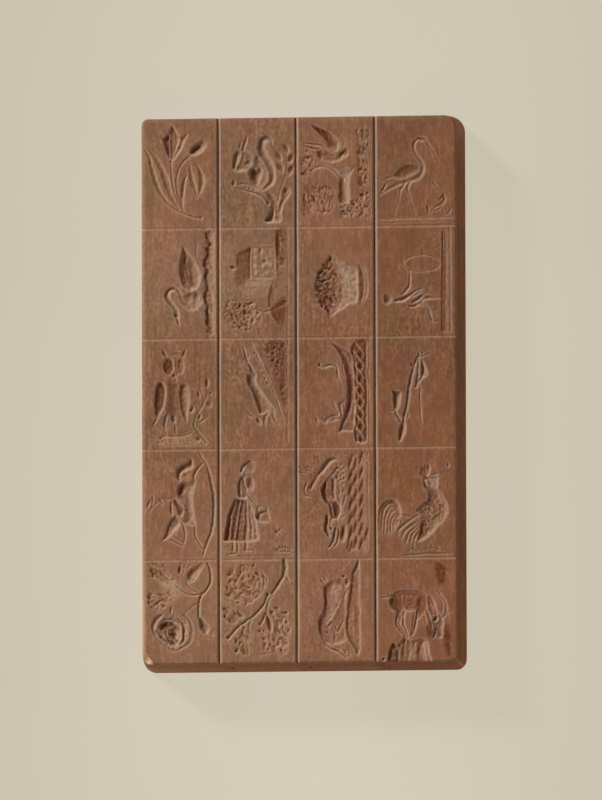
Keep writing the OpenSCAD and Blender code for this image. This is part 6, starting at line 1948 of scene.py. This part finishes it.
def wood(stave):
    """Old pearwood: growth rings round a far pith, fibres along the grain, painted shade in the cuts, pale
    rubbed edges, painted highlights and painted bounce light.
    """
    base = frame["record"]["materials"][stave]["base_color"]
    s = Shader(SLOTS[stave])
    shift = tuple(part * stave for part in GRAIN_STEP)
    pith = tuple(start + part * stave for start, part in zip(PITH, PITH_STEP))
    drift = s.times(s.noise((14, 5, 14), shift), RING_DRIFT)
    radius = s.math("ADD", s.length(s.place(ALONG_PITH, pith)), drift)
    ring_noise = {"noise_dimensions": "1D"}
    rings = s.add("TexNoise", ring_noise, W=radius, Scale=RINGS, Detail=3.0, Roughness=0.6).outputs[0]
    fibres = s.noise((900, 120, 900), shift, 4.0, 0.6)
    streaks = s.noise((300, 22, 300), shift, 3.0, 0.6)
    speckle = s.noise((800, 560, 800), (5, 2, 8))
    pores = s.noise((4200, 190, 4200), shift, 1.0)
    cloud = s.noise((60, 34, 60), shift, 3.0)
    warm = s.noise((16, 11, 16), (2, 5, 1))
    blotch = s.noise((75, 48, 75), (7, 3, 1), 3.0, 0.6)
    mottle = s.noise((330, 190, 330), (4, 6, 2), 3.0, 0.6)
    dark = shade(base, 0.58)
    pale_fibre = shade(base, (1.5, 1.62, 1.7))
    dull = shade(shade(base, (0.98, 1.04, 1.03)), 0.82)
    red = shade(shade(base, (1.12, 0.96, 0.96)), 1.1)
    # Colours of the painted shade in deep hollows, and in creases and the dark tone
    deep = shade(shade(base, (1.1, 0.95, 0.88)), 0.66)
    soil_and_shade = shade(base, (0.45, 0.29, 0.22))
    colour = s.mix(s.ramp(rings, 0.3, 0.7), shade(base, 0.82), shade(base, 1.12))
    for layer in (
        (streaks, 0.36, 0.64, 0.7, dark),
        (fibres, 0.36, 0.64, 0.9, pale_fibre),
        (speckle, 0.36, 0.64, 0.9, dark),
        (cloud, 0.38, 0.66, 0.6, dull),
        (warm, 0.42, 0.62, 0.5, red),
        (blotch, 0.4, 0.62, 0.5, shade(base, 0.74)),
    ):
        colour = s.cover(colour, *layer)
    low = s.ramp(s.add("SeparateXYZ", Vector=s.place()).outputs["Y"], *TINT_Y)
    colour = s.mix(TINT_SHARE, colour, s.mix(low, TOP_TINT, BOTTOM_TINT), "MULTIPLY")
    for layer in (
        (pores, 0.66, 0.74, 0.45, shade(base, 0.55)),
        (mottle, 0.5, 0.7, 0.3, pale_fibre),
        (mottle, 0.5, 0.3, 0.4, shade(base, 0.68)),
    ):
        colour = s.cover(colour, *layer)
    colour = s.mix(1.0, colour, s.ramp(fibres, 0.3, 0.7, 0.94, 1.08), "MULTIPLY")
    # Painted shade in deep hollows, in creases and in the dark tone, painted highlight in the pale tone,
    # and paler walls and rubbed edges
    for name, share, layer in (
        ("hollow", 0.25, deep),
        ("wall", 0.42, PALE),
        ("soil_and_shade", s.ramp(speckle, 0.35, 0.65, 0.75, 1.0), soil_and_shade),
        ("dust_and_highlight", s.ramp(speckle, 0.35, 0.65, 0.85, 0.5), DUST_AND_HIGHLIGHT),
        ("crease_shade", 0.45, soil_and_shade),
        ("rubbed", s.ramp(cloud, 0.3, 0.65, 0.1, 0.5), PALE),
    ):
        colour = s.mix(s.times(s.mark(name), share), colour, layer)
    # Painted bounce light on the shaded sides
    colour = s.mix(s.mark("bounce_light"), colour, s.mix(1.0, colour, BOUNCE_LIGHT_GAIN, "MULTIPLY"))
    colour = s.mix(s.mark("fresh"), colour, FRESH)
    height = s.math("ADD", s.times(fibres, 0.6), s.times(speckle, 0.5))
    bump = s.add("Bump", Strength=0.7, Distance=WOOD_BUMP, Height=height).outputs[0]
    rough = s.math("SUBTRACT", s.ramp(cloud, 0.3, 0.7, 0.6, 0.72), s.times(s.mark("rubbed"), 0.1))
    s.set(s.surface, Base_Color=colour, Roughness=rough, Normal=bump, Specular_IOR_Level=WOOD_SHINE)
    return s.material


def paper():
    """Pale paper that keeps a faint shadow: part of its light is its own, and a pool of light is painted
    round the board.
    """
    s = Shader("paper")
    away = s.length(s.place((7.4, 2.6, 0), (0, 0.2, 0)))
    cloud = s.times(s.noise((9, 9, 9), (3, 1, 0), 3.0), 0.35)
    tint = s.mix(s.ramp(s.math("ADD", away, cloud), 0.3, 1.35), PAPER_LIT_NEAR, PAPER_DIM_FAR)
    bump = s.add("Bump", Strength=0.1, Distance=PAPER_BUMP, Height=s.noise((900, 900, 900))).outputs[0]
    s.set(s.surface, Base_Color=tint, Roughness=0.9, Normal=bump, Specular_IOR_Level=PAPER_SHINE)
    glow = s.add("Emission", Color=tint, Strength=1.0)
    both = s.add("MixShader", Fac=s.times(s.add("LightPath").outputs["Is Camera Ray"], PAPER_GLOW))
    s.feed(both.inputs[1], s.surface.outputs[0])
    s.feed(both.inputs[2], glow.outputs[0])
    s.set(s.tree.nodes["Material Output"], Surface=both.outputs[0])
    return s.material


# Light from the upper left, a weak one from the lower right, and the sky's
SUN_FROM = (-0.62, 0.56, 0.47)
SUN_STRENGTH = 4.5
SUN_ANGLE = np.radians(12)
FILL_FROM = (0.5, -0.85, 0.45)
FILL_STRENGTH = 0.5
FILL_ANGLE = np.radians(60)
SKY = (0.365, 0.285, 0.215, 1)

# The camera looks down on the face, from a little to the right and below
CAMERA_LENS = 800.0
CAMERA_SENSOR = 36.0
IMAGE_TALL = 0.3648
CAMERA_FROM = Vector((0.105, -0.094, 1)).normalized()
CAMERA_ROLL = np.radians(-0.15)
CAMERA_AIM = Vector((-0.0004, -0.0036, THICK * MM / 2))


def add_object(name, data):
    """A new object in the scene."""
    made = bpy.data.objects.new(name, data)
    bpy.context.scene.collection.objects.link(made)
    return made


def make_staves():
    """The staves, each in the place of its node."""
    for stave, node in enumerate(STAVES):
        piece = add_object(f"{node}_carved", Stave(stave).build())
        piece.data.materials.append(wood(stave))
        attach(piece, "root")
        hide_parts(node)


def make_floor():
    """The paper that the mould lies on."""
    mesh = bpy.data.meshes.new("floor")
    far = PAPER_HALF
    corners = [(-far, -far, 0), (far, -far, 0), (far, far, 0), (-far, far, 0)]
    mesh.from_pydata(corners, [], [(0, 1, 2, 3)])
    floor = add_object("floor", mesh)
    mesh.materials.append(paper())


def make_light():
    """Two suns and an even sky."""
    suns = (("sun", SUN_FROM, SUN_STRENGTH, SUN_ANGLE), ("fill", FILL_FROM, FILL_STRENGTH, FILL_ANGLE))
    for name, source, strength, angle in suns:
        sun = bpy.data.lights.new(name, "SUN")
        sun.energy = strength
        sun.angle = angle
        add_object(name, sun).rotation_euler = Vector(source).to_track_quat("Z", "Y").to_euler()
    world = bpy.data.worlds.new("sky")
    world.use_nodes = True
    world.node_tree.nodes["Background"].inputs["Color"].default_value = SKY
    bpy.context.scene.world = world


def make_camera():
    """A long lens, far enough off for the height of the photograph."""
    lens = bpy.data.cameras.new("camera")
    lens.lens = CAMERA_LENS
    lens.sensor_width = CAMERA_SENSOR
    camera = add_object("camera", lens)
    right = Vector((0, 1, 0)).cross(CAMERA_FROM).normalized()
    up = CAMERA_FROM.cross(right)
    turn = Matrix((right, up, CAMERA_FROM)).transposed() @ Matrix.Rotation(CAMERA_ROLL, 3, "Z")
    place = CAMERA_AIM + CAMERA_FROM * IMAGE_TALL * CAMERA_LENS / CAMERA_SENSOR
    camera.matrix_world = Matrix.Translation(place) @ turn.to_4x4()
    bpy.context.scene.camera = camera


bpy.context.scene.view_settings.view_transform = "Standard"
make_camera()
make_staves()
make_floor()
make_light()
